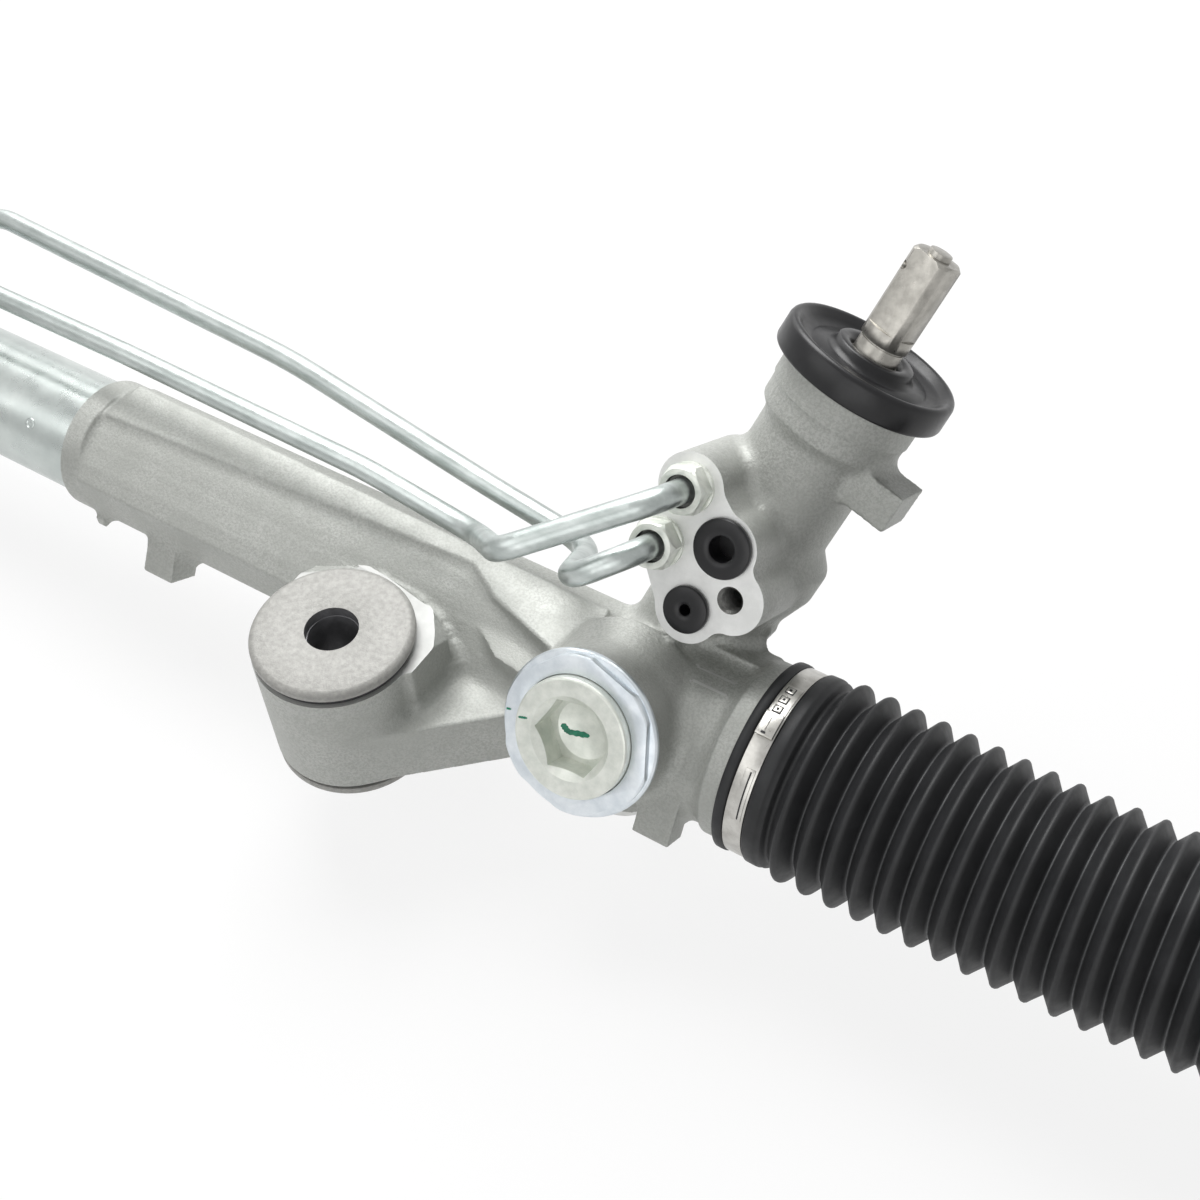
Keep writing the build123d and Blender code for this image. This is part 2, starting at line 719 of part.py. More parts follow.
def valve_sleeve():
    body = rod(shaft_line, valve_radius - 0.3, valve_bottom, valve_top)
    for height in (58.5, 73.5, 88.5):
        body -= ring(shaft_line, valve_radius, valve_radius - 2.5, height - 3.0, height + 3.0)
    for height in (51.0, 66.0, 81.0, 96.0):
        body -= ring(shaft_line, valve_radius, valve_radius - 2.3, height - 1.3, height + 1.3)
    body -= rod(shaft_line, 14.2, valve_bottom, 56.0)
    body -= rod(shaft_line, 12.3 + fit_gap, 56.0, valve_top)
    for height in (58.5, 73.5, 88.5):
        cross = moved_to(shaft_line, 0, 0, height, z_dir=plug_dir, x_dir=shaft_dir)
        body -= rod(cross, 1.6, -valve_radius, valve_radius)
    pin_line = moved_to(shaft_line, 0, 0, 50.0, z_dir=plug_dir, x_dir=shaft_dir)
    return body - rod(pin_line, 1.5, -valve_radius, valve_radius)


def valve_rings():
    rings = []
    for height in (51.0, 66.0, 81.0, 96.0):
        rings.append(ring(shaft_line, valve_radius, valve_radius - 2.2, height - 1.2, height + 1.2))
    return Compound(rings)


def drive_pin():
    pin_line = moved_to(shaft_line, 0, 0, 50.0, z_dir=plug_dir, x_dir=shaft_dir)
    return rod(pin_line, 1.5, 10.0, 16.5)


def torsion_bar():
    lower = rod(shaft_line, torsion_radius, 18.0, 34.0)
    upper = rod(shaft_line, torsion_radius, shaft_tip - 26.0, shaft_tip + 2.0)
    spring = rod(shaft_line, 2.6, 34.0, shaft_tip - 26.0)
    return joined(lower, upper, spring)


def input_shaft():
    """Spool with control slots, seal land and a flatted tip for the coupling."""
    spool = rod(shaft_line, 12.3, 58.0, 104.0)
    stub = rod(shaft_line, 9.0, 45.5, 58.0)
    land = rod(shaft_line, shaft_radius, 104.0, 161.0)
    neck = rod(shaft_line, shaft_radius - 0.7, 161.0, 167.5)
    groove = rod(shaft_line, shaft_radius - 1.2, 167.5, 168.4)
    tip = rod(shaft_line, shaft_radius, 168.4, shaft_tip - 1.2)
    point = taper(shaft_line, shaft_radius, shaft_radius - 1.2, shaft_tip - 1.2, shaft_tip)
    body = joined(spool, stub, land, neck, groove, tip, point)
    for step in range(6):
        slot = spun(shaft_line, 60.0 * step)
        body -= block(slot, (10.6, -1.6, 64.0), (13.0, 1.6, 98.0))
    for angle, depth in ((-15.0, 7.3), (165.0, 7.3), (75.0, 8.3), (-105.0, 8.3)):
        flat = spun(shaft_line, angle)
        body -= block(flat, (depth, -12.0, 173.5), (12.0, 12.0, shaft_tip + 1.0))
    body -= rod(shaft_line, torsion_radius + 0.6, 40.0, shaft_tip - 26.0)
    body -= rod(shaft_line, torsion_radius, shaft_tip - 26.0, shaft_tip)
    pin_side = spun(shaft_line, -60.0).x_dir
    cross = moved_to(shaft_line, 0, 0, shaft_tip - 8.0, z_dir=pin_side, x_dir=shaft_dir)
    return body - rod(cross, 1.7, torsion_radius, 12.0)


def upper_bearing():
    return ring(shaft_line, 16.0, shaft_radius + fit_gap, 113.0, 125.0)


def bearing_seat():
    return ring(shaft_line, 21.0, 16.0, 112.0, 125.0)


def input_seal():
    body = ring(shaft_line, 21.0, shaft_radius + fit_gap, 127.0, 136.0)
    return body - ring(shaft_line, 17.5, shaft_radius + 2.0, 127.0, 132.0)


def snap_ring():
    return ring(shaft_line, 21.0, 17.5, 136.2, 138.0)


def dust_cap():
    """Moulded cap pushed over the tower with a lip around the shaft."""
    top = cap_top
    outline = [
        (rim_radius, cap_bottom), (cap_radius - 0.2, cap_bottom),
        (cap_radius + 0.3, cap_bottom + 1.0), (cap_radius, top - 1.4),
        (cap_radius - 1.2, top - 0.2), (cap_radius - 3.0, top - 0.2),
        (cap_radius - 6.0, top - 3.4), (24.0, top - 4.4), (23.0, top - 3.6),
        (18.0, top - 3.6), (16.0, top - 1.5), (15.2, top + 1.2), (11.6, top + 1.2),
        (10.9, top + 0.4), (shaft_radius + fit_gap, top - 1.2), (shaft_radius + fit_gap, top - 2.2),
        (12.0, top - 4.3), (15.0, top - 5.6), (20.5, tower_top),
        (rim_radius, tower_top),
    ]
    return turned(shaft_line, outline)


# Pipes

def out_of(place, reach):
    return port_frame(place).from_local_coords(Vector(0, 0, reach))


def at(x, y, z):
    return crossing + Vector(x, y, z)


def right_turn_pipe():
    """From the upper valve port over the tunnel to the outer cylinder port."""
    mouth = outer_port
    points = [
        out_of(upper_pipe_port, -9.0), out_of(upper_pipe_port, 26.0), at(-39.6, -28.0, 91.4),
        at(-76.0, 4.5, 49.0), at(-136.0, 10.0, 50.5), at(-272.0, 13.5, 50.5),
        at(-outer_port_x + 70.0, 19.0, 44.0), at(-outer_port_x + 30.0, 33.5, 58.0),
        mouth.from_local_coords(Vector(0, 0, 67.0)), mouth.from_local_coords(Vector(0, 0, 31.0)),
    ]
    bends = (elbow, elbow, 26.0, 260.0, 260.0, 34.0, 24.0, elbow)
    return piped(points, pipe_radius, bends)


def left_turn_pipe():
    """From the lower valve port behind the tunnel to the inner cylinder port."""
    mouth = inner_port
    points = [
        out_of(lower_pipe_port, -9.0), out_of(lower_pipe_port, 22.0), at(-18.5, -17.0, 77.0),
        at(-36.0, 24.5, 44.5), at(-90.0, 29.5, 48.5), at(-207.7, 48.0, 48.5),
        at(-inner_port_x + 24.0, 59.0, 48.0),
        mouth.from_local_coords(Vector(0, 0, 72.0)), mouth.from_local_coords(Vector(0, 0, 31.0)),
    ]
    bends = (elbow, elbow, 22.0, 260.0, 320.0, 30.0, elbow)
    return piped(points, pipe_radius, bends)


def flare_nut(frame, start):
    """Tube nut with a round collar under its hexagon."""
    shank = rod(frame, pipe_hole_radius, start - 8.0, start)
    collar = rod(frame, 9.6, start, start + 1.6)
    head = hexagon(frame, nut_flats, start + 1.6, start + 9.0)
    head = head & joined(rod(frame, 9.8, start, start + 7.0), taper(frame, 9.8, 8.4, start + 7.0, start + 9.0))
    return joined(shank, collar, head) - rod(frame, pipe_radius + 0.1, start - 8.0, start + 9.0)


def valve_pipe_nuts():
    nuts = [flare_nut(port_frame(place), 0) for place in (upper_pipe_port, lower_pipe_port)]
    return Compound([nut.solids()[0] for nut in nuts])


def tube_pipe_nuts():
    solids = []
    for port in (inner_port, outer_port):
        shank = rod(port, 6.0, 30.0, 36.0)
        head = hexagon(port, nut_flats, 36.0, 45.0)
        nut = joined(shank, head) - rod(port, pipe_radius + 0.1, 30.0, 45.0)
        solids.append(nut.solids()[0])
    return Compound(solids)


def port_plug(place, hole, head, bore):
    frame = port_frame(place)
    body = joined(rod(frame, hole, -9.0, 0), rod(frame, head, 0, 1.8))
    body = joined(body, taper(frame, head, head - 0.6, 1.8, 2.4))
    return body - rod(frame, bore, -6.0, 2.4)


def return_plug():
    return port_plug(return_port, return_hole_radius, 11.4, 4.9)


def pressure_plug():
    return port_plug(pressure_port, pressure_hole_radius, 9.1, 2.1)


# Tie rods and boots

def ball_line(side, start):
    """A frame at a ball centre whose z runs outward along its tie rod."""
    rise = radians(tie_rod_rise)
    outward = Vector(side * cos(rise), 0, sin(rise))
    return Plane(origin=crossing + along * (side * start), x_dir=(0, 1, 0), z_dir=outward)


right_rod = ball_line(1, right_ball)
left_rod = ball_line(-1, left_ball)


def ball_socket(frame, rack_end, centre):
    """Steel cup screwed into the rack end and spun over the ball seat."""
    stud = rod(frame, 9.0, rack_end - 22.0, rack_end)
    cup = rod(frame, socket_radius, rack_end, centre + 9.5)
    rim = taper(frame, socket_radius, socket_radius - 3.0, centre + 9.5, centre + 13.5)
    flats = hexagon(frame, 38.0, rack_end - 1.0, rack_end + 8.0)
    cup = joined(cup - ring(frame, 25.0, 0.1, rack_end, rack_end + 6.0), flats & rod(frame, socket_radius, rack_end, rack_end + 6.0))
    body = joined(stud, cup, rim)
    body -= ball(frame, ball_radius + seat_wall, centre)
    return body - taper(frame, 12.0, 22.0, centre + 6.0, centre + 14.0)


def ball_seat(frame, centre):
    shell = ball(frame, ball_radius + seat_wall, centre) - ball(frame, ball_radius + fit_gap, centre)
    return shell - rod(frame, 25.0, centre + 6.0, centre + 20.0)


def tie_rod(frame):
    """Ball stud, plain shank, wrench flats and a threaded end."""
    head = ball(frame, ball_radius)
    throat = taper(frame, 8.0, rod_radius, 10.0, 26.0)
    shank = rod(frame, rod_radius, 26.0, rod_length - thread_length)
    seat_bead = rod(frame, rod_radius + 1.0, neck_start_z + 13.5, neck_start_z + 16.0)
    run_out = rod(frame, run_out_radius, rod_length - thread_length, rod_length - 40.0)
    thread = rod(frame, thread_radius, rod_length - 40.0, rod_length - 1.5)
    end = taper(frame, thread_radius, thread_radius - 1.5, rod_length - 1.5, rod_length)
    body = joined(head, throat, shank, seat_bead, run_out, thread, end)
    for x in (-1, 1):
        cheek = block(frame, (min(x * 7.0, x * 12.0), -12.0, 142.0), (max(x * 7.0, x * 12.0), 12.0, 160.0))
        body -= cheek
    return body


cone_length = 22.0
neck_start_z = neck_peaks * pitch + cone_length


def jam_nut(frame):
    place = rod_length - thread_length + 22.0
    nut = hexagon(frame, 30.0, place, place + 12.0)
    nut = nut & joined(
        taper(frame, 15.4, 17.4, place, place + 2.0), rod(frame, 17.4, place + 2.0, place + 10.0),
        taper(frame, 17.4, 15.4, place + 10.0, place + 12.0),
    )
    return nut - rod(frame, run_out_radius, place, place + 12.0)


def wave(first, count, swell=0.0):
    """Outer line of the folds: a peak and the valley behind it, over and over."""
    line = []
    for step in range(count):
        peak = first + step * pitch
        top = peak_radius + swell * (1 - step / count)
        line += [(top, peak - 0.7), (top, peak + 0.7)]
        if step < count - 1:
            line += [(valley_radius, peak + pitch / 2 - 0.35), (valley_radius, peak + pitch / 2 + 0.35)]
    return line


def inside(line):
    return [(r - boot_wall * 1.15, h) for r, h in reversed(line)]


def bellows(frame, start):
    """Boot from its bead on the housing to the middle fold."""
    seat = boot_seat_radius
    groove = seat + 2.4
    collar = [
        (seat + 3.9, start), (seat + 3.9, start + 4.0), (groove, start + 4.4),
        (groove, start + 4.4 + band_width), (seat + 4.1, start + 12.8), (seat + 4.1, start + 20.0),
        (valley_radius + 1.6, start + 21.4),
    ]
    folds = wave(start + first_peak, bellows_peaks, boot_swell)
    end = start + ball_reach
    outer = collar + folds + [(valley_radius, end + 2.0)]
    inner = [(valley_radius - boot_wall * 1.15, end + 2.0)] + inside(folds)
    inner += [(seat - 2.6, start + 26.4), (seat, start + 25.4), (seat, start)]
    return turned(frame, outer + inner) - rod(half_way(frame, end), 60.0, 0, 20.0)


def half_way(frame, reach):
    """The plane between a boot's two halves, half as steep as the tie rod."""
    rise = radians(tie_rod_rise / 2)
    outward = frame.z_dir * cos(rise) + Vector(0, 0, 1) * sin(rise)
    return Plane(origin=frame.from_local_coords(Vector(0, 0, reach)), x_dir=(0, 1, 0), z_dir=outward)


def boot_neck(frame, split):
    """Boot from the middle fold to its small end on the tie rod."""
    folds = wave(pitch / 2, neck_peaks)
    last = (neck_peaks - 0.5) * pitch
    small = rod_radius
    tail = [
        (valley_radius - 2.0, last + 6.0), (small + 9.0, neck_start_z - 6.0), (small + 3.4, neck_start_z - 2.0),
        (small + 3.4, neck_start_z + 1.0), (small + 2.4, neck_start_z + 1.4),
        (small + 2.4, neck_start_z + 9.4), (small + 3.4, neck_start_z + 9.8), (small + 3.4, neck_start_z + 12.5),
    ]
    back = [
        (small, neck_start_z + 12.5), (small, neck_start_z - 2.0), (small + 6.6, neck_start_z - 6.0),
        (valley_radius - 4.4, last + 6.0),
    ]
    outline = [(valley_radius, -2.0)] + folds + tail + back + inside(folds)
    whole = turned(frame, outline + [(valley_radius - boot_wall * 1.15, -2.0)])
    return whole - rod(split, 60.0, -20.0, 0)


def band(frame, radius, start, width):
    """Stepless band clamp with its tunnel and tongue."""
    outer = radius + band_thickness
    body = ring(frame, outer, radius, start, start + width)
    hook = block(frame, (-4.0, outer - 0.6, start + 0.6), (4.0, outer + 1.8, start + width - 0.6))
    return joined(body, hook - rod(frame, radius, start, start + width))


def large_clamps():
    """Both bands on the big ends of the boots."""
    groove = boot_seat_radius + 2.4
    right = band(spun(rack_line, 118.0), groove, boot_start + 4.5, band_width - 0.2)
    left = band(spun(left_line, 62.0), groove, left_boot_start + 4.5, band_width - 0.2)
    return Compound([right.solids()[0], left.solids()[0]])


def small_clamp(frame):
    return band(frame, rod_radius + 2.4, neck_start_z + 1.8, 7.2)


def save(name, shape):
    export_step(shape, "parts/" + name + ".step")


def save_housing():
    save("gear_housing", gear_housing())
    save("near_bush_sleeves", bush_sleeves(near_seat))
    save("near_bush_rubbers", bush_rubbers(near_seat))
    save("far_bracket", far_bracket())
    shift = Location((far_seat.origin.X, 0, 0))
    save("far_bush_sleeves", bush_sleeves(near_seat).moved(shift))
    save("far_bush_rubbers", bush_rubbers(near_seat).moved(shift))


def save_cylinder():
    save("cylinder_tube", cylinder_tube())
    save("tube_ports", tube_ports())
    save("inner_bulkhead", inner_bulkhead())
    save("inner_seal", inner_seal())
    save("outer_bulkhead", outer_bulkhead())
    save("outer_seal", outer_seal())
    save("piston", piston())
    save("piston_ring", piston_ring())
    save("rack_bar", rack_bar())


def save_yoke():
    save("yoke", yoke())
    save("yoke_liner", yoke_liner())
    save("yoke_seal", yoke_seal())
    save("yoke_spring", yoke_spring())
    save("yoke_plug", yoke_plug())
    save("yoke_locknut", yoke_locknut())


def save_valve():
    save("pinion", pinion())
    save("lower_bearing_outer", lower_bearing_outer())
    save("lower_bearing_inner", lower_bearing_inner())
    save("bearing_balls", bearing_balls())
    save("pinion_nut", pinion_nut())
    save("lower_cap", lower_cap())
    save("pinion_bearing", pinion_bearing())
    save("valve_sleeve", valve_sleeve())
    save("valve_rings", valve_rings())
    save("drive_pin", drive_pin())
    save("torsion_bar", torsion_bar())
    save("input_shaft", input_shaft())
    save("upper_bearing", joined(upper_bearing(), bearing_seat()))
    save("input_seal", input_seal())
    save("snap_ring", snap_ring())
    save("dust_cap", dust_cap())


def save_pipes():
    save("right_turn_pipe", right_turn_pipe())
    save("left_turn_pipe", left_turn_pipe())
    save("valve_pipe_nuts", valve_pipe_nuts())
    save("tube_pipe_nuts", tube_pipe_nuts())
    save("return_plug", return_plug())
    save("pressure_plug", pressure_plug())


def save_side(name, line, rod_line, rack_end, centre, start):
    save(name + "_ball_socket", ball_socket(line, rack_end, centre))
    save(name + "_ball_seat", ball_seat(line, centre))
    save(name + "_tie_rod", tie_rod(rod_line))
    save(name + "_jam_nut", jam_nut(rod_line))
    save(name + "_bellows", bellows(line, start))
    save(name + "_boot_neck", boot_neck(rod_line, half_way(line, centre)))
    save(name + "_small_clamp", small_clamp(rod_line))


os.makedirs("parts", exist_ok=True)
save_housing()
save_cylinder()
save_yoke()
save_valve()
save_pipes()
save_side("right", rack_line, right_rod, rack_right_end, right_ball, boot_start)
save_side("left", left_line, left_rod, rack_left_end, left_ball, left_boot_start)
save("large_clamps", large_clamps())
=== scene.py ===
import bpy
import json
import math
from mathutils import Matrix, Vector


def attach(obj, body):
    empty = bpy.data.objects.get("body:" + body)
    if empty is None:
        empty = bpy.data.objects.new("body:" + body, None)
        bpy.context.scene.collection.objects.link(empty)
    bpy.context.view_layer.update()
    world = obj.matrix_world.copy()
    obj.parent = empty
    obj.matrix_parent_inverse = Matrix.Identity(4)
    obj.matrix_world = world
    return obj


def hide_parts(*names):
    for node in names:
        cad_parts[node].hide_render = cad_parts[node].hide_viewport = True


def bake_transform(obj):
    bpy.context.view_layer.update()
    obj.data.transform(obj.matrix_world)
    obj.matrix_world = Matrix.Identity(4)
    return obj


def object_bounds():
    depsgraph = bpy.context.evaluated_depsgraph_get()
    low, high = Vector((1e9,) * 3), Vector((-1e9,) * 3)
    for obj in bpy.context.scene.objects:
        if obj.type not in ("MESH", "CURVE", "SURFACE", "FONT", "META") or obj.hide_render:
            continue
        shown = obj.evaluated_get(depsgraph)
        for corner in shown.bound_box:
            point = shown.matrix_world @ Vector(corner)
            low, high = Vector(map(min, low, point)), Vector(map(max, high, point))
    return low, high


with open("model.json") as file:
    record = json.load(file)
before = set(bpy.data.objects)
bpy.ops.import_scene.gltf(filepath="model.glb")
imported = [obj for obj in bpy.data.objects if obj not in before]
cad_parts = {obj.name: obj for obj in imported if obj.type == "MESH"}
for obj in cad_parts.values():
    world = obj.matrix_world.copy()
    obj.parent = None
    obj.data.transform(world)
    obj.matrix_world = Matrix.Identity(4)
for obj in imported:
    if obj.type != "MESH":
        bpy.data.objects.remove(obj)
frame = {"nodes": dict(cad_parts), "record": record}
nodes = frame["nodes"]
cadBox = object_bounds()
mm = 0.001
print("frame loaded:", len(nodes), "nodes")

# The view of the photograph, and the studio round the part
cameraView = {"place": (0.33340, -0.28073, 0.56864), "turnDeg": (40.303, 2.907, 32.709), "lens": 51.284}
studio = {
    "worldStrength": 0.10, "glossyStrength": 0.72, "floorColour": (0.93, 0.93, 0.93), "floorGlow": 0.85,
    "lampSize": (1.2, 1.0), "lampAim": (0.0, 0.0, 0.05),
    "lamps": {
        "keyLamp": ((-0.45, 0.7, 1.3), 30.0), "frontLamp": ((0.5, -1.3, 0.6), 5.0),
        "leftLamp": ((-0.7, -0.9, 1.1), 5.0), "rimLamp": ((-1.0, 1.0, 0.7), 4.0),
    },
}

# Directions of the gear, in millimetres and degrees: the rack runs along X
gear = {"crossing": (103.0, 57.0, 27.5), "plugTilt": 31.0, "towerLean": 16.0, "centreDistance": 18.0}
tilt = math.radians(gear["plugTilt"])
lean = math.radians(gear["towerLean"])
crossing = Vector(gear["crossing"]) * mm
alongDir = Vector((1, 0, 0))
plugDir = Vector((0, -math.cos(tilt), math.sin(tilt)))
riseDir = Vector((0, math.sin(tilt), math.cos(tilt)))
shaftDir = riseDir * math.cos(lean) + alongDir * math.sin(lean)


def placeAt(origin, zDir, xDir):
    z = Vector(zDir).normalized()
    x = Vector(xDir)
    x = (x - z * x.dot(z)).normalized()
    y = z.cross(x)
    turn = Matrix((x, y, z)).transposed().to_4x4()
    return Matrix.Translation(origin) @ turn


# Places: each has its z along the piece's own axis
rackPlace = placeAt(crossing, alongDir, (0, 1, 0))
leftPlace = placeAt(crossing, -alongDir, (0, 1, 0))
yokePlace = placeAt(crossing, plugDir, alongDir)
shaftPlace = placeAt(crossing - plugDir * gear["centreDistance"] * mm, shaftDir, plugDir)
nearPlace = Matrix.Identity(4)
farPlace = Matrix.Translation((-0.367, 0, 0))


def turnedPlace(place, angle):
    return place @ Matrix.Rotation(math.radians(angle), 4, "Z")


def deselectAll():
    if bpy.context.object and bpy.context.object.mode != "OBJECT":
        bpy.ops.object.mode_set(mode="OBJECT")
    bpy.ops.object.select_all(action="DESELECT")


def pick(piece):
    deselectAll()
    piece.select_set(True)
    bpy.context.view_layer.objects.active = piece


def settle(piece):
    pick(piece)
    bpy.ops.object.transform_apply(location=True, rotation=True, scale=True)


def applyModifier(piece, kind, **values):
    pick(piece)
    step = piece.modifiers.new(kind.lower(), kind)
    for key, value in values.items():
        setattr(step, key, value)
    bpy.ops.object.modifier_apply(modifier=step.name)


def editAll(piece):
    pick(piece)
    bpy.ops.object.mode_set(mode="EDIT")
    bpy.ops.mesh.select_all(action="SELECT")


def turnOut():
    bpy.ops.mesh.select_all(action="SELECT")
    bpy.ops.mesh.normals_make_consistent(inside=False)
    bpy.ops.object.mode_set(mode="OBJECT")


def bevelEdges(piece, width, segments=2, angle=30.0):
    applyModifier(piece, "BEVEL", width=width * mm, segments=segments, limit_method="ANGLE",
                  angle_limit=math.radians(angle), use_clamp_overlap=True, harden_normals=False)


def smoothShade(piece, angle=32.0):
    pick(piece)
    bpy.ops.object.shade_smooth_by_angle(angle=math.radians(angle))


def copyOf(source, name):
    piece = bpy.data.objects.new(name, source.data.copy())
    bpy.context.scene.collection.objects.link(piece)
    return piece


# Points closer than this are one point
mergeGap = 2e-6


def mergedCopy(node, name):
    piece = copyOf(nodes[node], name)
    piece.data.materials.clear()
    editAll(piece)
    bpy.ops.mesh.remove_doubles(threshold=mergeGap)
    bpy.ops.object.mode_set(mode="OBJECT")
    return piece


def dissolveFlats(piece, angle=0.6):
    editAll(piece)
    bpy.ops.mesh.dissolve_limited(angle_limit=math.radians(angle))
    bpy.ops.object.mode_set(mode="OBJECT")


# A round bar, a cone, a block and a turned shape, all placed in a piece's own frame
def settledAs(name):
    piece = bpy.context.object
    piece.name = name
    settle(piece)
    return piece


def roundBar(name, place, radius, start, end, sides=96):
    deselectAll()
    middle = place @ Vector((0, 0, (start + end) / 2 * mm))
    bpy.ops.mesh.primitive_cylinder_add(vertices=sides, radius=radius * mm, depth=(end - start) * mm,
                                        location=middle, rotation=place.to_euler())
    return settledAs(name)


def taperBar(name, place, first, last, start, end, sides=96):
    deselectAll()
    middle = place @ Vector((0, 0, (start + end) / 2 * mm))
    bpy.ops.mesh.primitive_cone_add(vertices=sides, radius1=first * mm, radius2=last * mm,
                                    depth=(end - start) * mm, location=middle, rotation=place.to_euler())
    return settledAs(name)


def blockBetween(name, place, low, high):
    deselectAll()
    middle = place @ (Vector([(a + b) / 2 for a, b in zip(low, high)]) * mm)
    bpy.ops.mesh.primitive_cube_add(size=1.0, location=middle, rotation=place.to_euler())
    bpy.context.object.scale = [(b - a) * mm for a, b in zip(low, high)]
    return settledAs(name)


def spinShape(piece, place, steps, angle):
    editAll(piece)
    bpy.ops.mesh.spin(steps=steps, angle=angle, center=(0, 0, 0), axis=(0, 0, 1))
    bpy.ops.mesh.select_all(action="SELECT")
    bpy.ops.mesh.remove_doubles(threshold=mergeGap)
    bpy.ops.mesh.delete_loose()
    turnOut()
    piece.data.transform(place)


def turnedShape(name, place, outline, steps=128, edge=0.0):
    deselectAll()
    bpy.ops.mesh.primitive_circle_add(vertices=len(outline), radius=1.0, fill_type="NOTHING")
    piece = bpy.context.object
    piece.name = name
    for vertex, (radius, height) in zip(piece.data.vertices, outline):
        vertex.co = (radius * mm, 0, height * mm)
    spinShape(piece, place, steps, math.tau)
    if edge:
        bevelEdges(piece, edge)
    return piece


def joinPieces(piece, others):
    pick(piece)
    for other in others:
        other.select_set(True)
    bpy.ops.object.join()
    return piece


def combine(piece, other, operation):
    applyModifier(piece, "BOOLEAN", object=other, operation=operation, solver="MANIFOLD")
    bpy.data.objects.remove(other)
    return piece


def unite(pieces):
    whole = pieces[0]
    for piece in pieces[1:]:
        combine(whole, piece, "UNION")
    return whole


# Finishes. Each one is a dictionary of what a user would change; sizes are in millimetres
def newFinish(name, colour, metallic, roughness):
    material = bpy.data.materials.new(name)
    material.use_nodes = True
    shader = material.node_tree.nodes["Principled BSDF"]
    shader.inputs["Base Color"].default_value = (*colour, 1)
    shader.inputs["Metallic"].default_value = metallic
    shader.inputs["Roughness"].default_value = roughness
    return material, material.node_tree, shader


even = (1, 1, 1)


def noiseOf(tree, size, detail, roughness, stretch=even):
    coords = tree.nodes.new("ShaderNodeTexCoord")
    mapping = tree.nodes.new("ShaderNodeMapping")
    mapping.inputs["Scale"].default_value = stretch
    noise = tree.nodes.new("ShaderNodeTexNoise")
    noise.inputs["Scale"].default_value = 1 / (size * mm)
    noise.inputs["Detail"].default_value = detail
    noise.inputs["Roughness"].default_value = roughness
    tree.links.new(coords.outputs["Object"], mapping.inputs["Vector"])
    tree.links.new(mapping.outputs["Vector"], noise.inputs["Vector"])
    return noise.outputs["Fac"]


def spread(tree, value, low, high, first, last):
    node = tree.nodes.new("ShaderNodeMapRange")
    node.inputs["From Min"].default_value = low
    node.inputs["From Max"].default_value = high
    node.inputs["To Min"].default_value = first
    node.inputs["To Max"].default_value = last
    tree.links.new(value, node.inputs["Value"])
    return node.outputs["Result"]


def blendColours(tree, share, first, last):
    node = tree.nodes.new("ShaderNodeMix")
    node.data_type = "RGBA"
    for socket, value in ((node.inputs[6], first), (node.inputs[7], last)):
        if isinstance(value, (tuple, list)):
            socket.default_value = (*value[:3], 1)
        else:
            tree.links.new(value, socket)
    tree.links.new(share, node.inputs[0])
    return node.outputs[2]


def addGrain(tree, shader, layers):
    last = None
    for size, depth, stretch in layers:
        bump = tree.nodes.new("ShaderNodeBump")
        bump.inputs["Strength"].default_value = 1.0
        bump.inputs["Distance"].default_value = depth * mm
        tree.links.new(noiseOf(tree, size, 3.0, 0.6, stretch), bump.inputs["Height"])
        if last:
            tree.links.new(last, bump.inputs["Normal"])
        last = bump.outputs["Normal"]
    tree.links.new(last, shader.inputs["Normal"])


def patchesOf(tree, size, detail, roughness, low, high, first=0.0, last=1.0, stretch=even):
    noise = noiseOf(tree, size, detail, roughness, stretch)
    return spread(tree, noise, low, high, first, last)


def surfaceFinish(name, look):
    material, tree, shader = newFinish(name, look["light"], look["metallic"], look["roughLow"])
    blotch = patchesOf(tree, look["blotch"], 5.0, 0.62, 0.36, 0.66, stretch=look.get("stretch", even))
    colour = blendColours(tree, blotch, look["dark"], look["light"])
    if "stain" in look:
        stain = patchesOf(tree, look["stainSize"], 6.0, 0.7, look["stainFrom"], look["stainFrom"] + 0.09)
        colour = blendColours(tree, stain, colour, look["stain"])
    if "fleck" in look:
        fleck = patchesOf(tree, look["fleckSize"], 2.0, 0.5, look["fleckFrom"], look["fleckFrom"] + 0.05)
        colour = blendColours(tree, fleck, colour, look["fleck"])
    tree.links.new(colour, shader.inputs["Base Color"])
    rough = patchesOf(tree, look["blotch"] * 0.45, 5.0, 0.65, 0.3, 0.7, look["roughLow"], look["roughHigh"])
    tree.links.new(rough, shader.inputs["Roughness"])
    addGrain(tree, shader, look["grain"])
    if "specular" in look:
        shader.inputs["Specular IOR Level"].default_value = look["specular"]
    return material


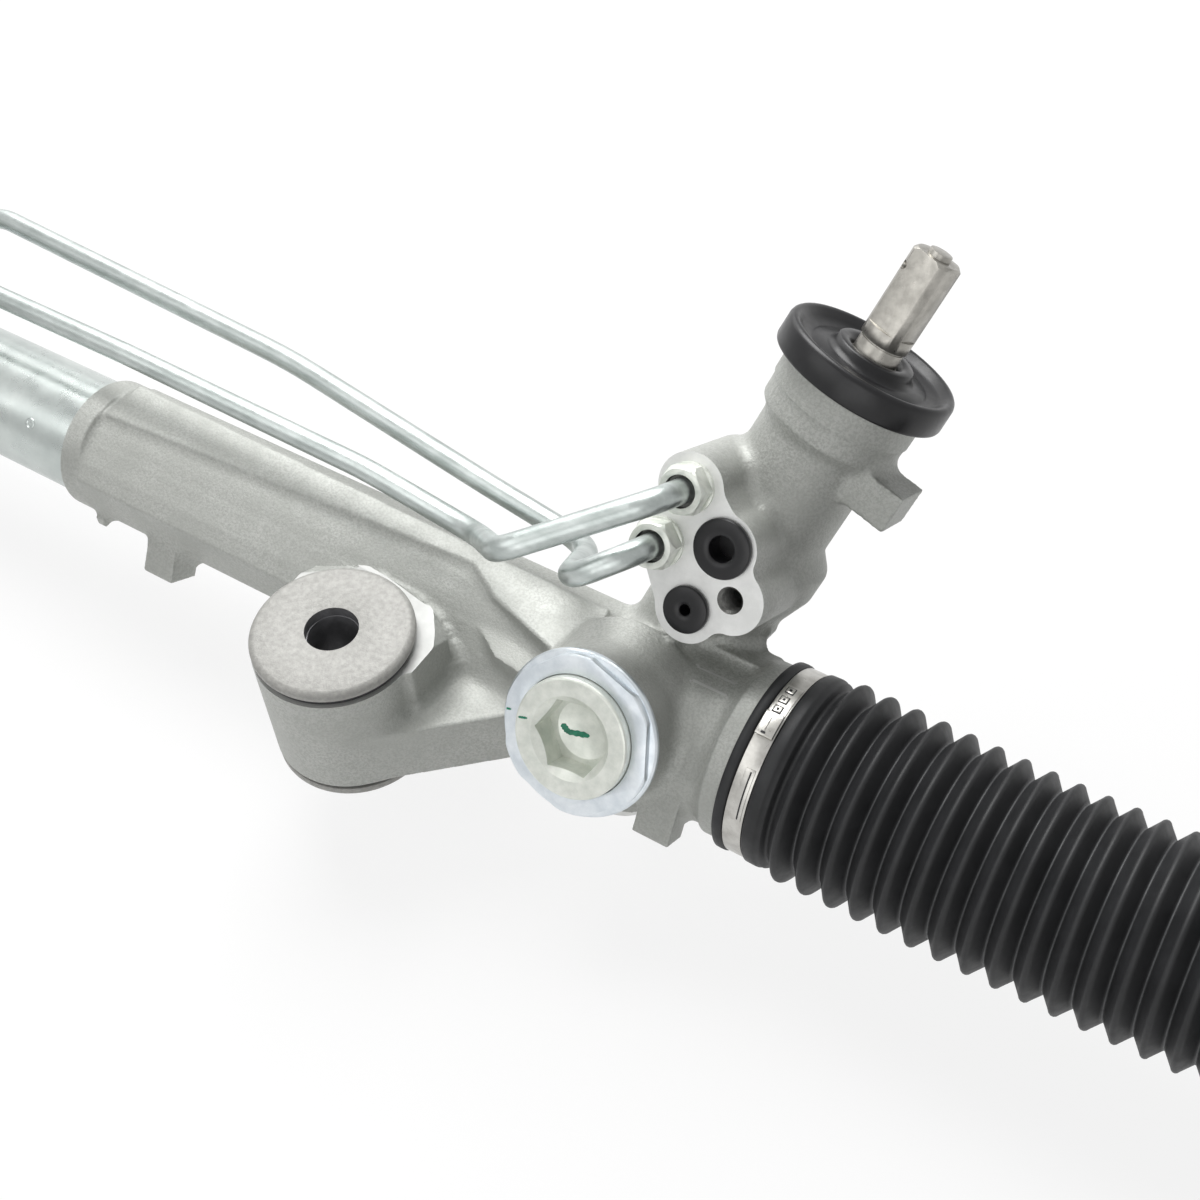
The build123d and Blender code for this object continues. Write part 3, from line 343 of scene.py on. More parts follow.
finishes = {
    "castAluminium": {
        "dark": (0.40, 0.41, 0.385), "light": (0.47, 0.48, 0.455), "metallic": 0.3, "roughLow": 0.44,
        "roughHigh": 0.58, "blotch": 26.0, "stain": (0.37, 0.378, 0.355), "stainSize": 1.1,
        "stainFrom": 0.46, "fleck": (0.10, 0.095, 0.085), "fleckSize": 2.4, "fleckFrom": 0.80,
        "grain": [(0.9, 0.20, even), (1.9, 0.16, even), (9.0, 0.08, even)],
    },
    "machinedAluminium": {
        "dark": (0.70, 0.705, 0.69), "light": (0.82, 0.825, 0.81), "metallic": 0.6, "roughLow": 0.36,
        "roughHigh": 0.48, "blotch": 12.0, "stain": (0.42, 0.37, 0.29), "stainSize": 16.0,
        "stainFrom": 0.70, "grain": [(0.35, 0.008, even), (1.2, 0.012, (1, 5, 1))],
    },
    "seatAluminium": {
        "dark": (0.47, 0.475, 0.46), "light": (0.56, 0.565, 0.55), "metallic": 0.15, "roughLow": 0.46,
        "roughHigh": 0.58, "blotch": 12.0, "grain": [(0.35, 0.008, even), (1.2, 0.012, (1, 5, 1))],
    },
    "tubeSteel": {
        "dark": (0.47, 0.51, 0.495), "light": (0.60, 0.64, 0.62), "metallic": 0.95, "roughLow": 0.24,
        "roughHigh": 0.34, "blotch": 30.0, "grain": [(0.30, 0.006, (1, 1, 1)), (2.0, 0.010, (0.25, 1, 1))],
    },
    "pipeZinc": {
        "dark": (0.40, 0.44, 0.425), "light": (0.55, 0.59, 0.575), "metallic": 0.9, "roughLow": 0.28,
        "roughHigh": 0.42, "blotch": 7.0, "stretch": (0.35, 1, 1),
        "grain": [(0.45, 0.014, (0.2, 1, 1)), (3.0, 0.03, (0.3, 1, 1))],
    },
    "nutZinc": {
        "dark": (0.62, 0.67, 0.71), "light": (0.76, 0.80, 0.83), "metallic": 0.9, "roughLow": 0.30,
        "roughHigh": 0.46, "blotch": 8.0, "fleck": (0.20, 0.21, 0.22), "fleckSize": 1.6, "fleckFrom": 0.79,
        "grain": [(0.4, 0.010, even), (2.6, 0.03, even)],
    },
    "plugZinc": {
        "dark": (0.68, 0.71, 0.65), "light": (0.84, 0.86, 0.80), "metallic": 0.45, "roughLow": 0.34,
        "roughHigh": 0.46, "blotch": 6.0, "grain": [(0.4, 0.008, even), (2.2, 0.02, even)],
    },
    "blastedSteel": {
        "dark": (0.30, 0.297, 0.28), "light": (0.39, 0.385, 0.365), "metallic": 0.2, "roughLow": 0.50,
        "roughHigh": 0.64, "blotch": 2.2, "stain": (0.27, 0.24, 0.20), "stainSize": 12.0, "stainFrom": 0.74,
        "fleck": (0.12, 0.11, 0.10), "fleckSize": 1.2, "fleckFrom": 0.76,
        "grain": [(0.7, 0.12, even), (1.6, 0.12, even)],
    },
    "groundSteel": {
        "dark": (0.50, 0.49, 0.46), "light": (0.64, 0.63, 0.60), "metallic": 0.95, "roughLow": 0.22,
        "roughHigh": 0.36, "blotch": 9.0, "grain": [(0.3, 0.006, even), (1.2, 0.010, even)],
    },
    "shaftSteel": {
        "dark": (0.30, 0.29, 0.265), "light": (0.44, 0.425, 0.39), "metallic": 0.92, "roughLow": 0.26,
        "roughHigh": 0.40, "blotch": 6.0, "stain": (0.34, 0.30, 0.25), "stainSize": 9.0, "stainFrom": 0.66,
        "grain": [(0.35, 0.012, even), (1.4, 0.018, even)],
    },
    # Also laid on the bush bores as painted shade
    "forgedSteelAndBoreShade": {
        "dark": (0.16, 0.16, 0.165), "light": (0.25, 0.25, 0.26), "metallic": 0.8, "roughLow": 0.42,
        "roughHigh": 0.6, "blotch": 9.0, "grain": [(0.6, 0.03, even), (2.4, 0.04, even)],
    },
    "springSteel": {
        "dark": (0.30, 0.30, 0.32), "light": (0.42, 0.42, 0.44), "metallic": 0.9, "roughLow": 0.3,
        "roughHigh": 0.45, "blotch": 6.0, "grain": [(0.5, 0.01, even)],
    },
    "stainlessBand": {
        "dark": (0.42, 0.41, 0.385), "light": (0.56, 0.55, 0.52), "metallic": 1.0, "roughLow": 0.26,
        "roughHigh": 0.36, "blotch": 6.0, "grain": [(0.5, 0.006, (3, 1, 1)), (3.0, 0.02, even)],
    },
    "bushRubber": {
        "dark": (0.016, 0.016, 0.017), "light": (0.028, 0.028, 0.03), "metallic": 0.0, "roughLow": 0.42,
        "roughHigh": 0.6, "blotch": 5.0, "specular": 0.4, "grain": [(0.7, 0.03, even), (3.0, 0.06, even)],
    },
    "bootRubber": {
        "dark": (0.012, 0.0125, 0.0135), "light": (0.020, 0.0205, 0.022), "metallic": 0.0, "roughLow": 0.46,
        "roughHigh": 0.58, "blotch": 14.0, "fleck": (0.16, 0.16, 0.16), "fleckSize": 1.9,
        "fleckFrom": 0.835, "specular": 0.36, "grain": [(0.5, 0.010, even), (2.2, 0.02, even)],
    },
    "sealRubber": {
        "dark": (0.015, 0.015, 0.016), "light": (0.03, 0.03, 0.032), "metallic": 0.0, "roughLow": 0.45,
        "roughHigh": 0.6, "blotch": 6.0, "grain": [(0.6, 0.015, even)],
    },
    "capPlastic": {
        "dark": (0.009, 0.009, 0.010), "light": (0.014, 0.014, 0.0155), "metallic": 0.0, "roughLow": 0.28,
        "roughHigh": 0.38, "blotch": 9.0, "fleck": (0.11, 0.11, 0.11), "fleckSize": 1.3, "fleckFrom": 0.83,
        "specular": 0.38, "grain": [(0.45, 0.008, even), (2.4, 0.015, even)],
    },
    "bearingPlastic": {
        "dark": (0.62, 0.58, 0.48), "light": (0.75, 0.72, 0.62), "metallic": 0.0, "roughLow": 0.45,
        "roughHigh": 0.6, "blotch": 6.0, "grain": [(0.6, 0.01, even)],
    },
    # Dark finish laid as painted shade inside the bolt thread and the valve nut recesses
    "paintedBoreShade": {
        "dark": (0.10, 0.10, 0.095), "light": (0.22, 0.22, 0.21), "metallic": 0.85, "roughLow": 0.32,
        "roughHigh": 0.45, "blotch": 3.0, "grain": [(0.6, 0.01, even)],
    },
    "greenPaint": {
        "dark": (0.004, 0.16, 0.085), "light": (0.010, 0.27, 0.15), "metallic": 0.0, "roughLow": 0.35,
        "roughHigh": 0.5, "blotch": 1.6, "grain": [(0.8, 0.03, even)],
    },
    "foldEdge": {
        "dark": (0.03, 0.031, 0.033), "light": (0.06, 0.062, 0.065), "metallic": 0.0, "roughLow": 0.45,
        "roughHigh": 0.6, "blotch": 6.0, "grain": [(0.8, 0.01, even)],
    },
}
paints = {name: surfaceFinish(name, look) for name, look in finishes.items()}
slotFinish = {
    "cast_aluminium": "castAluminium", "machined_aluminium": "machinedAluminium", "tube_steel": "tubeSteel",
    "zinc_steel": "nutZinc", "rough_steel": "blastedSteel", "ground_steel": "groundSteel",
    "forged_steel": "forgedSteelAndBoreShade", "spring_steel": "springSteel", "stainless_band": "stainlessBand",
    "bush_rubber": "bushRubber", "boot_rubber": "bootRubber", "seal_rubber": "sealRubber",
    "cap_plastic": "capPlastic", "bearing_plastic": "bearingPlastic",
}
slotOf = {part["node"]: part["material_slot"] for part in frame["record"]["subparts"]}
bodyOf = {node: body for body, members in frame["record"]["behaviour"]["bodies"].items() for node in members}


def dress(piece, *names):
    piece.data.materials.clear()
    for name in names:
        piece.data.materials.append(paints[name])


def standFor(piece, *members):
    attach(piece, bodyOf[members[0]])
    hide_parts(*members)


for node, slotName in slotOf.items():
    dress(nodes[node], slotFinish[slotName])
print("finishes ready:", len(paints))

# Cast housing: the casting's soft fillets come from swelling and shrinking a
# remeshed copy, then the machined faces and bores are cut into it again. Each ear
# slope has its direction, reach, slope, two sides and depth
casting = {
    "voxel": 0.95, "fineVoxel": 0.78, "filletRadius": 3.2, "smoothSteps": 2, "machinedStock": 2.0,
    "triangleShare": 0.27,
    "earSlopes": [
        (124.6, 33.4, 24.0, -9.0, 30.0, 14.0), (32.0, 37.0, 36.0, -16.0, 14.0, 14.0),
        (80.0, 34.2, 30.0, -15.0, 17.0, 14.0),
    ],
}
boltHole = {"depth": 18.0, "crest": 4.3, "root": 4.95, "mouth": 5.3, "pitch": 1.25}
portFace = 44.0
earLow, earHigh = 7.2, 59.3
collarEnd, mouthEnd = 287.0, 80.0
yokeSeat, towerTop = 47.0, 156.5
ports = {
    "return": (2.5, 85.5), "pressure": (3.2, 57.1), "bolt": (15.1, 70.9), "upperPipe": (-20.0, 96.4),
    "lowerPipe": (-18.9, 72.0),
}


# Ports on the block: the distance to the side and up the valve tower
def portPlace(name):
    side, height = ports[name]
    origin = shaftPlace @ (Vector((portFace, side, height)) * mm)
    return placeAt(origin, plugDir, shaftDir)


portMiddle = shaftPlace @ (Vector((portFace, 0, 76)) * mm)
upward = Vector((0, 0, 1))
earTop, earFoot = Vector((0, 0, earHigh * mm)), Vector((0, 0, earLow * mm))
machinedFaces = [
    (portMiddle, plugDir, 0.05), (earTop, upward, 0.06), (earFoot, -upward, 0.06),
    (crossing - alongDir * collarEnd * mm, -alongDir, 0.04),
]


def boreBars(grow=0.0, beyond=0.0):
    # Place, radius, start and end of each bore. Open ends run on by the length
    # beyond, so that no skin stays across a mouth
    bars = [
        (rackPlace, 24.6, -collarEnd - beyond, 18.0 - collarEnd),
        (rackPlace, 16.0, 17.0 - collarEnd, mouthEnd + beyond), (rackPlace, 25.0, 56.6, mouthEnd + beyond),
        (yokePlace, 20.03, 0.0, yokeSeat + beyond), (yokePlace, 23.8, 36.0, yokeSeat + beyond),
        (shaftPlace, 13.0, -21.0, 21.0), (shaftPlace, 17.5, -32.5, -20.0),
        (shaftPlace, 20.0, -50.0 - beyond, -32.0), (shaftPlace, 14.5, 19.5, 36.0),
        (shaftPlace, 16.0, 35.5, 44.5), (shaftPlace, 19.53, 44.0, 112.0),
        (shaftPlace, 21.0, 112.0, towerTop + beyond), (nearPlace, 24.0, earLow - beyond, earHigh + beyond),
        (portPlace("return"), 9.0, -32.0, beyond), (portPlace("pressure"), 8.0, -32.0, beyond),
        (portPlace("upperPipe"), 7.0, -14.0, beyond), (portPlace("lowerPipe"), 7.0, -14.0, beyond),
    ]
    return [roundBar("bore", place, radius + grow, start, end) for place, radius, start, end in bars]


def pushFace(piece, origin, normal, reach):
    # Moves one flat face out, to leave stock that the machining cuts away
    pick(piece)
    bpy.ops.object.mode_set(mode="EDIT")
    bpy.ops.mesh.select_mode(type="VERT")
    bpy.ops.mesh.select_all(action="DESELECT")
    bpy.ops.object.mode_set(mode="OBJECT")
    for vertex in piece.data.vertices:
        gap = vertex.co - origin
        vertex.select = abs(gap.dot(normal)) < 3e-5 and gap.length < reach
    bpy.ops.object.mode_set(mode="EDIT")
    bpy.ops.transform.translate(value=normal * (casting["machinedStock"] * mm))
    bpy.ops.object.mode_set(mode="OBJECT")


def remeshed(piece, voxel):
    applyModifier(piece, "REMESH", mode="VOXEL", voxel_size=voxel * mm, adaptivity=0.0)


def earSlopes():
    # The ear's shoulders fall away behind the bush disc, to the left and to the right
    cuts = []
    for angle, reach, slope, low, high, depth in casting["earSlopes"]:
        turn = math.radians(angle)
        out = Vector((math.cos(turn), math.sin(turn), 0))
        drop = math.radians(slope)
        normal = out * math.sin(drop) + Vector((0, 0, math.cos(drop)))
        place = placeAt(out * reach * mm + Vector((0, 0, earHigh * mm)), normal, out)
        cuts.append(blockBetween("cut", place, (0.0, low, 0.0), (depth, high, 14.0)))
    return cuts


def castShape():
    body = mergedCopy("gear_housing", "castHousing")
    for cut in earSlopes():
        combine(body, cut, "DIFFERENCE")
    joinPieces(body, boreBars(grow=0.35) + [roundBar("bore", portPlace("bolt"), 4.6, -18.0, 0.0)])
    for origin, normal, reach in machinedFaces:
        pushFace(body, origin, normal, reach)
    crisp = copyOf(body, "crisp")
    swell = casting["filletRadius"] * mm
    remeshed(body, casting["voxel"])
    applyModifier(body, "DISPLACE", strength=swell, mid_level=0.0, direction="NORMAL")
    remeshed(body, casting["voxel"] * 1.15)
    applyModifier(body, "SMOOTH", factor=0.5, iterations=2)
    applyModifier(body, "DISPLACE", strength=-swell, mid_level=0.0, direction="NORMAL")
    joinPieces(body, [crisp])
    remeshed(body, casting["fineVoxel"])
    applyModifier(body, "SMOOTH", factor=0.5, iterations=casting["smoothSteps"])
    return body


def boltThread():
    hole = boltHole
    outline = [(0.0, -hole["depth"]), (hole["crest"] - 0.05, -hole["depth"])]
    for turn in range(13):
        lift = turn * hole["pitch"]
        outline += [(hole["crest"], lift - 17.0), (hole["root"], lift - 16.4)]
    outline += [(hole["crest"], -0.9), (hole["mouth"], 0.1), (0.0, 0.1)]
    return turnedShape("thread", portPlace("bolt"), outline, 48)


def castHousing():
    body = castShape()
    print("casting softened:", len(body.data.polygons), "faces")
    applyModifier(body, "DECIMATE", ratio=casting["triangleShare"])
    rims = unite([
        roundBar("rim", rackPlace, 36.3, 48.2, 54.2), roundBar("rim", shaftPlace, 28.4, 139.5, 151.8),
        roundBar("rim", shaftPlace, 30.4, 150.9, towerTop), roundBar("rim", rackPlace, 35.0, 54.0, mouthEnd),
    ])
    combine(body, rims, "UNION")
    faces = unite([
        blockBetween("cut", placeAt(portMiddle, plugDir, shaftDir), (-38, -36, 0), (38, 36, 8)),
        blockBetween("cut", Matrix.Identity(4), (-45, -40, earHigh), (45, 45, earHigh + 8)),
        blockBetween("cut", Matrix.Identity(4), (-45, -40, earLow - 8), (45, 45, earLow)),
        blockBetween("cut", rackPlace, (-40, -40, -collarEnd - 9), (40, 40, -collarEnd)),
        roundBar("cut", yokePlace, 33.9, yokeSeat, 72.0),
    ])
    combine(body, faces, "DIFFERENCE")
    bores = unite(boreBars(beyond=1.7))
    combine(body, bores, "DIFFERENCE")
    combine(body, boltThread(), "DIFFERENCE")
    return body


housing = castHousing()
print("casting cut:", len(housing.data.polygons), "faces")


# Machined faces and bores of the casting take the brighter finishes
def nearPlane(face, origin, normal, gap=6e-5):
    return abs((face.center - origin).dot(normal)) < gap and abs(face.normal.dot(normal)) > 0.98


def onBar(face, place, radius, start, end):
    local = place.inverted() @ face.center
    reach = math.hypot(local.x, local.y) / mm
    return abs(reach - radius) < 0.12 and start - 0.2 < local.z / mm < end + 0.2


def finishHousing():
    dress(housing, "castAluminium", "machinedAluminium", "paintedBoreShade", "seatAluminium")
    planes = [(portMiddle, plugDir), (crossing + plugDir * (yokeSeat * mm), plugDir)]
    bars = [
        (rackPlace, 24.6, -collarEnd, 18.0 - collarEnd), (yokePlace, 20.03, 0.0, yokeSeat),
        (yokePlace, 23.8, 36.0, yokeSeat), (shaftPlace, 21.0, 112.0, towerTop),
        (nearPlace, 24.0, earLow, earHigh), (portPlace("return"), 9.0, -32.0, 0.0),
        (portPlace("pressure"), 8.0, -32.0, 0.0), (portPlace("upperPipe"), 7.0, -14.0, 0.0),
        (portPlace("lowerPipe"), 7.0, -14.0, 0.0),
    ]
    bolt = portPlace("bolt").inverted()
    for face in housing.data.polygons:
        flat = any(nearPlane(face, origin, normal) for origin, normal in planes)
        if flat or any(onBar(face, *bar) for bar in bars):
            face.material_index = 1
        if nearPlane(face, earTop, upward) or nearPlane(face, earFoot, upward):
            face.material_index = 3
        # The bolt hole's thread faces take the dark finish, as painted shade inside the hole
        inBolt = bolt @ face.center
        if math.hypot(inBolt.x, inBolt.y) < 5.2 * mm and inBolt.z < -0.25 * mm:
            face.material_index = 2
    smoothShade(housing, 38.0)
    standFor(housing, "gear_housing")


finishHousing()

# Pieces that keep their CAD shape and only get their edges broken. The nuts at the
# valve also get a recess round their pipe, with its walls painted dark as shade
recess = {"radius": 6.2, "start": 6.2, "end": 9.5}
recesses = {"valve_pipe_nuts": [portPlace("upperPipe"), portPlace("lowerPipe")]}


def paintGapShade(piece, place):
    # Paints the recess walls dark, as the shade in the gap round the pipe
    for face in piece.data.polygons:
        local = place.inverted() @ face.center
        inside = math.hypot(local.x, local.y) < (recess["radius"] + 0.05) * mm
        if inside and recess["start"] - 0.5 < local.z / mm < recess["end"] - 0.8:
            face.material_index = 1


def softened(node, finish, edge):
    piece = mergedCopy(node, node + "_piece")
    gaps = recesses.get(node, [])
    for place in gaps:
        bar = roundBar("recess", place, recess["radius"], recess["start"], recess["end"], 48)
        combine(piece, bar, "DIFFERENCE")
    dissolveFlats(piece)
    bevelEdges(piece, edge, 2, 35.0)
    dress(piece, finish, *["paintedBoreShade"] * bool(gaps))
    for place in gaps:
        paintGapShade(piece, place)
    smoothShade(piece, 32.0)
    standFor(piece, node)


softEdges = {
    "valve_pipe_nuts": ("plugZinc", 0.35), "tube_pipe_nuts": ("nutZinc", 0.35),
    "tube_ports": ("tubeSteel", 0.4), "right_jam_nut": ("nutZinc", 0.35), "left_jam_nut": ("nutZinc", 0.35),
    "lower_cap": ("machinedAluminium", 0.5), "outer_bulkhead": ("machinedAluminium", 0.5),
    "input_shaft": ("shaftSteel", 0.3), "right_ball_socket": ("forgedSteelAndBoreShade", 0.5),
    "left_ball_socket": ("forgedSteelAndBoreShade", 0.5), "torsion_bar": ("shaftSteel", 0.2),
    "right_small_clamp": ("stainlessBand", 0.2), "left_small_clamp": ("stainlessBand", 0.2),
    "far_bracket": ("castAluminium", 1.0),
}
for node, (finish, edge) in softEdges.items():
    softened(node, finish, edge)
for node in nodes:
    if not nodes[node].hide_render:
        smoothShade(nodes[node], 32.0)
for node in ("right_turn_pipe", "left_turn_pipe"):
    dress(nodes[node], "pipeZinc")
print("steel pieces softened")

# Mounting bushes: two flanged steel sleeves with rubber lips under their discs
bush = {
    "height": 66.5, "disc": 32.4, "flange": 4.4, "bore": 10.6, "sleeve": 14.0, "lip": 2.8, "rubber": 24.0,
}


def flipped(outline, flip):
    if not flip:
        return outline
    return [(radius, bush["height"] - level) for radius, level in outline]


def bushSteel(place, name, flip):
    height, disc, flange = bush["height"], bush["disc"], bush["flange"]
    bore, sleeve = bush["bore"], bush["sleeve"]
    outline = [
        (bore, 0.0), (disc - 2.6, 0.0), (disc - 1.7, 0.25), (disc - 0.5, 1.1), (disc, 2.0),
        (disc, flange - 0.7), (disc - 0.4, flange), (sleeve, flange), (sleeve, height / 2 - 0.8),
        (bore - 0.35, height / 2 - 0.8), (bore - 0.35, flange + 0.3), (bore, flange + 0.3),
    ]
    piece = turnedShape(name, place, flipped(outline, flip), 128)
    bevelEdges(piece, 0.22, 2, 40.0)
    return piece


def bushRubber(place, name, flip):
    half, disc, sleeve = bush["height"] / 2, bush["disc"], bush["sleeve"]
    low, high = bush["flange"], bush["flange"] + bush["lip"]
    outline = [
        (sleeve, low), (disc - 2.6, low), (disc - 1.3, low + 0.25), (disc - 0.95, low + 0.9),
        (disc - 0.9, low + 1.4), (disc - 1.1, low + 2.1), (disc - 2.0, high), (bush["rubber"], high),
        (bush["rubber"], half - 2.0), (sleeve, half - 2.0),
    ]
    return turnedShape(name, place, flipped(outline, flip), 128)


def makeBush(place, prefix, sleeveNode, rubberNode):
    steel = joinPieces(bushSteel(place, prefix + "Sleeves", False), [bushSteel(place, "half", True)])
    dress(steel, "blastedSteel", "forgedSteelAndBoreShade")
    # The bore walls take the dark forged finish, as painted shade inside the bore
    for face in steel.data.polygons:
        local = place.inverted() @ face.center
        if math.hypot(local.x, local.y) < (bush["bore"] + 0.05) * mm:
            face.material_index = 1
    smoothShade(steel, 40.0)
    standFor(steel, sleeveNode)
    rubber = joinPieces(bushRubber(place, prefix + "Rubbers", False), [bushRubber(place, "half", True)])
    dress(rubber, "bushRubber")
    smoothShade(rubber, 45.0)
    standFor(rubber, rubberNode)


makeBush(nearPlace, "nearBush", "near_bush_sleeves", "near_bush_rubbers")
makeBush(farPlace, "farBush", "far_bush_sleeves", "far_bush_rubbers")
print("bushes ready")

# Boots: rounded folds with a narrow valley between them
boots = {
    "pitch": 10.8, "peak": 39.8, "valley": 34.2, "swell": 1.0, "wall": 1.7, "tip": 1.5, "seat": 35.0,
    "rightStart": 54.6, "leftStart": 622.0, "firstPeak": 26.9, "bellowsPeaks": 9, "neckPeaks": 8,
    "rod": 8.6, "rodRise": 4.5, "tail": 22.0, "bendReach": 43.0,
}


def foldLine(first, count):
    line = []
    half, tip, low = boots["pitch"] / 2, boots["tip"], boots["valley"]
    for step in range(count):
        peak = first + step * boots["pitch"]
        top = boots["peak"] + boots["swell"] * max(0.0, 1 - step / boots["bellowsPeaks"])
        line += [
            (top - 1.15, peak - tip), (top - 0.42, peak - tip * 0.66), (top - 0.05, peak - tip * 0.25),
            (top - 0.05, peak + tip * 0.25), (top - 0.42, peak + tip * 0.66), (top - 1.15, peak + tip),
        ]
        if step < count - 1:
            line += [
                (low + 0.9, peak + half - 0.95), (low + 0.1, peak + half - 0.28),
                (low + 0.1, peak + half + 0.28), (low + 0.9, peak + half + 0.95),
            ]
    return line


def innerLine(line):
    return [(radius - boots["wall"] * 1.12, height) for radius, height in reversed(line)]


def bootOutline(start):
    seat, valley, rod, pitch = boots["seat"], boots["valley"], boots["rod"], boots["pitch"]
    collar = [
        (seat, start), (seat + 3.2, start), (seat + 3.8, start + 0.5), (seat + 3.9, start + 2.0),
        (seat + 3.8, start + 3.5), (seat + 3.3, start + 4.1), (seat + 2.35, start + 4.4),
        (seat + 2.35, start + 12.4), (seat + 3.4, start + 12.7), (seat + 4.0, start + 13.3),
        (seat + 4.1, start + 17.0), (seat + 3.95, start + 18.0), (seat + 3.5, start + 18.3),
        (seat + 3.4, start + 19.8), (seat + 3.0, start + 20.4), (seat + 1.3, start + 21.1),
        (seat + 0.75, start + 21.8), (seat + 0.75, start + 22.4), (seat + 1.5, start + 23.4),
    ]
    firstPeak = start + boots["firstPeak"]
    end = firstPeak + (boots["bellowsPeaks"] - 0.5) * pitch
    folds = foldLine(firstPeak, boots["bellowsPeaks"] + boots["neckPeaks"])
    small = end + boots["neckPeaks"] * pitch + boots["tail"]
    last = end + (boots["neckPeaks"] - 0.5) * pitch
    tail = [
        (valley - 2.0, last + 6.0), (rod + 9.2, small - 6.2), (rod + 5.0, small - 3.6),
        (rod + 3.4, small - 1.8), (rod + 3.4, small + 0.9), (rod + 2.4, small + 1.4),
        (rod + 2.4, small + 9.4), (rod + 3.4, small + 9.9), (rod + 3.4, small + 12.2),
        (rod + 3.1, small + 12.5), (rod, small + 12.5), (rod, small - 2.0), (rod + 6.6, small - 6.0),
        (valley - 4.4, last + 6.0),
    ]
    inside = innerLine(folds) + [(seat - 2.5, start + 26.4), (seat, start + 25.4)]
    return collar + folds + tail + inside, firstPeak, end, small


def bendAlong(piece, place, middle, reach, rise):
    # The axis turns smoothly into the tie rod's line over the folds round the ball
    steps = 240
    line, height, out = [], -reach, 0.0
    for step in range(steps + 1):
        share = step / steps
        turn = math.radians(rise) * share * share * (3 - 2 * share)
        line.append((height, out, turn))
        height += 2 * reach / steps * math.cos(turn)
        out += 2 * reach / steps * math.sin(turn)
    back = place.inverted()
    up = (back.to_3x3() @ Vector((0, 0, 1))).normalized()
    for vertex in piece.data.vertices:
        local = back @ vertex.co
        along = local.z / mm - middle
        if along <= -reach:
            continue
        step = min(steps, int((along + reach) / (2 * reach) * steps))
        bendZ, bendUp, turn = line[step]
        beyond = along - (-reach + 2 * reach * step / steps)
        side = local - Vector((0, 0, local.z))
        lift = side.dot(up)
        axisZ = middle + bendZ + beyond * math.cos(turn)
        axisUp = bendUp + beyond * math.sin(turn)
        newUp = axisUp * mm + lift * math.cos(turn)
        newZ = axisZ * mm - lift * math.sin(turn)
        vertex.co = place @ (side - up * lift + up * newUp + Vector((0, 0, newZ)))


def partAt(piece, place, keepFront):
    # Cuts the skin at the plane and closes its inner and outer loops with a ring
    editAll(piece)
    normal = place.to_3x3() @ Vector((0, 0, 1))
    bpy.ops.mesh.bisect(plane_co=place.translation, plane_no=normal, use_fill=False,
                        clear_outer=not keepFront, clear_inner=keepFront)
    bpy.ops.mesh.select_all(action="SELECT")
    bpy.ops.mesh.region_to_loop()
    bpy.ops.mesh.bridge_edge_loops()
    turnOut()


def ballPlace(side, start, rise):
    turn = math.radians(rise)
    outward = Vector((side * math.cos(turn), 0, math.sin(turn)))
    return placeAt(crossing + alongDir * side * start * mm, outward, (0, 1, 0))


def makeBoot(side, start, line, bodyNode, neckNode):
    outline, firstPeak, end, small = bootOutline(start)
    bellows = turnedShape(bodyNode + "_piece", line, outline, 144)
    dress(bellows, "bootRubber", "foldEdge")
    for face in bellows.data.polygons:
        local = line.inverted() @ face.center
        atValley = abs(math.hypot(local.x, local.y) / mm - (boots["valley"] + 0.1)) < 0.1
        if atValley and firstPeak < local.z / mm < small - boots["tail"]:
            face.material_index = 1
    bendAlong(bellows, line, end, boots["bendReach"], boots["rodRise"])
    neck = copyOf(bellows, neckNode + "_piece")
    split = ballPlace(side, end, boots["rodRise"] / 2)
    partAt(bellows, split, False)
    partAt(neck, split, True)
    for piece, node in ((bellows, bodyNode), (neck, neckNode)):
        smoothShade(piece, 60.0)
        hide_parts(node)
    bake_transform(bellows)
    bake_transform(neck)


makeBoot(1, boots["rightStart"], rackPlace, "right_bellows", "right_boot_neck")
makeBoot(-1, boots["leftStart"], leftPlace, "left_bellows", "left_boot_neck")
print("boots ready")

# Yoke plug with its dished hexagon socket, and the locknut round it
yoke = {
    "plug": 23.8, "face": 56.4, "socketFlats": 27.0, "mouth": 16.6, "nut": 32.9, "nutFlats": 59.6,
    "nutClip": 31.7, "nutTurn": 13.0, "socketTurn": 36.6, "seat": yokeSeat, "nutFace": 52.4,
}


def hexBar(name, place, flats, turn, start, end):
    return roundBar(name, turnedPlace(place, turn), flats / 2 / math.cos(math.pi / 6), start, end, sides=6)


def yokePlug():
    face, rim, flats = yoke["face"], yoke["plug"], yoke["socketFlats"]
    outline = [
        (0.0, 36.2), (rim, 36.2), (rim, face - 0.9), (rim - 0.35, face - 0.3), (rim - 1.0, face), (0.0, face),
    ]
    plug = turnedShape("yoke_plug_piece", yokePlace, outline, 128)
    socket = hexBar("socket", yokePlace, flats, yoke["socketTurn"], face - 12.0, face + 2.0)
    mouth = taperBar("mouth", yokePlace, flats / 2, yoke["mouth"] + 0.3, face - 2.6, face + 0.25)
    outline = [
        (0.0, face - 11.5), (0.0, face - 14.6), (3.0, face - 14.4), (6.0, face - 13.9),
        (9.0, face - 13.1), (11.6, face - 12.0), (11.6, face - 11.5),
    ]
    dish = turnedShape("dish", yokePlace, outline, 96)
    for cut in (socket, mouth, dish):
        combine(plug, cut, "DIFFERENCE")
    dress(plug, "plugZinc")
    smoothShade(plug, 14.0)
    standFor(plug, "yoke_plug")


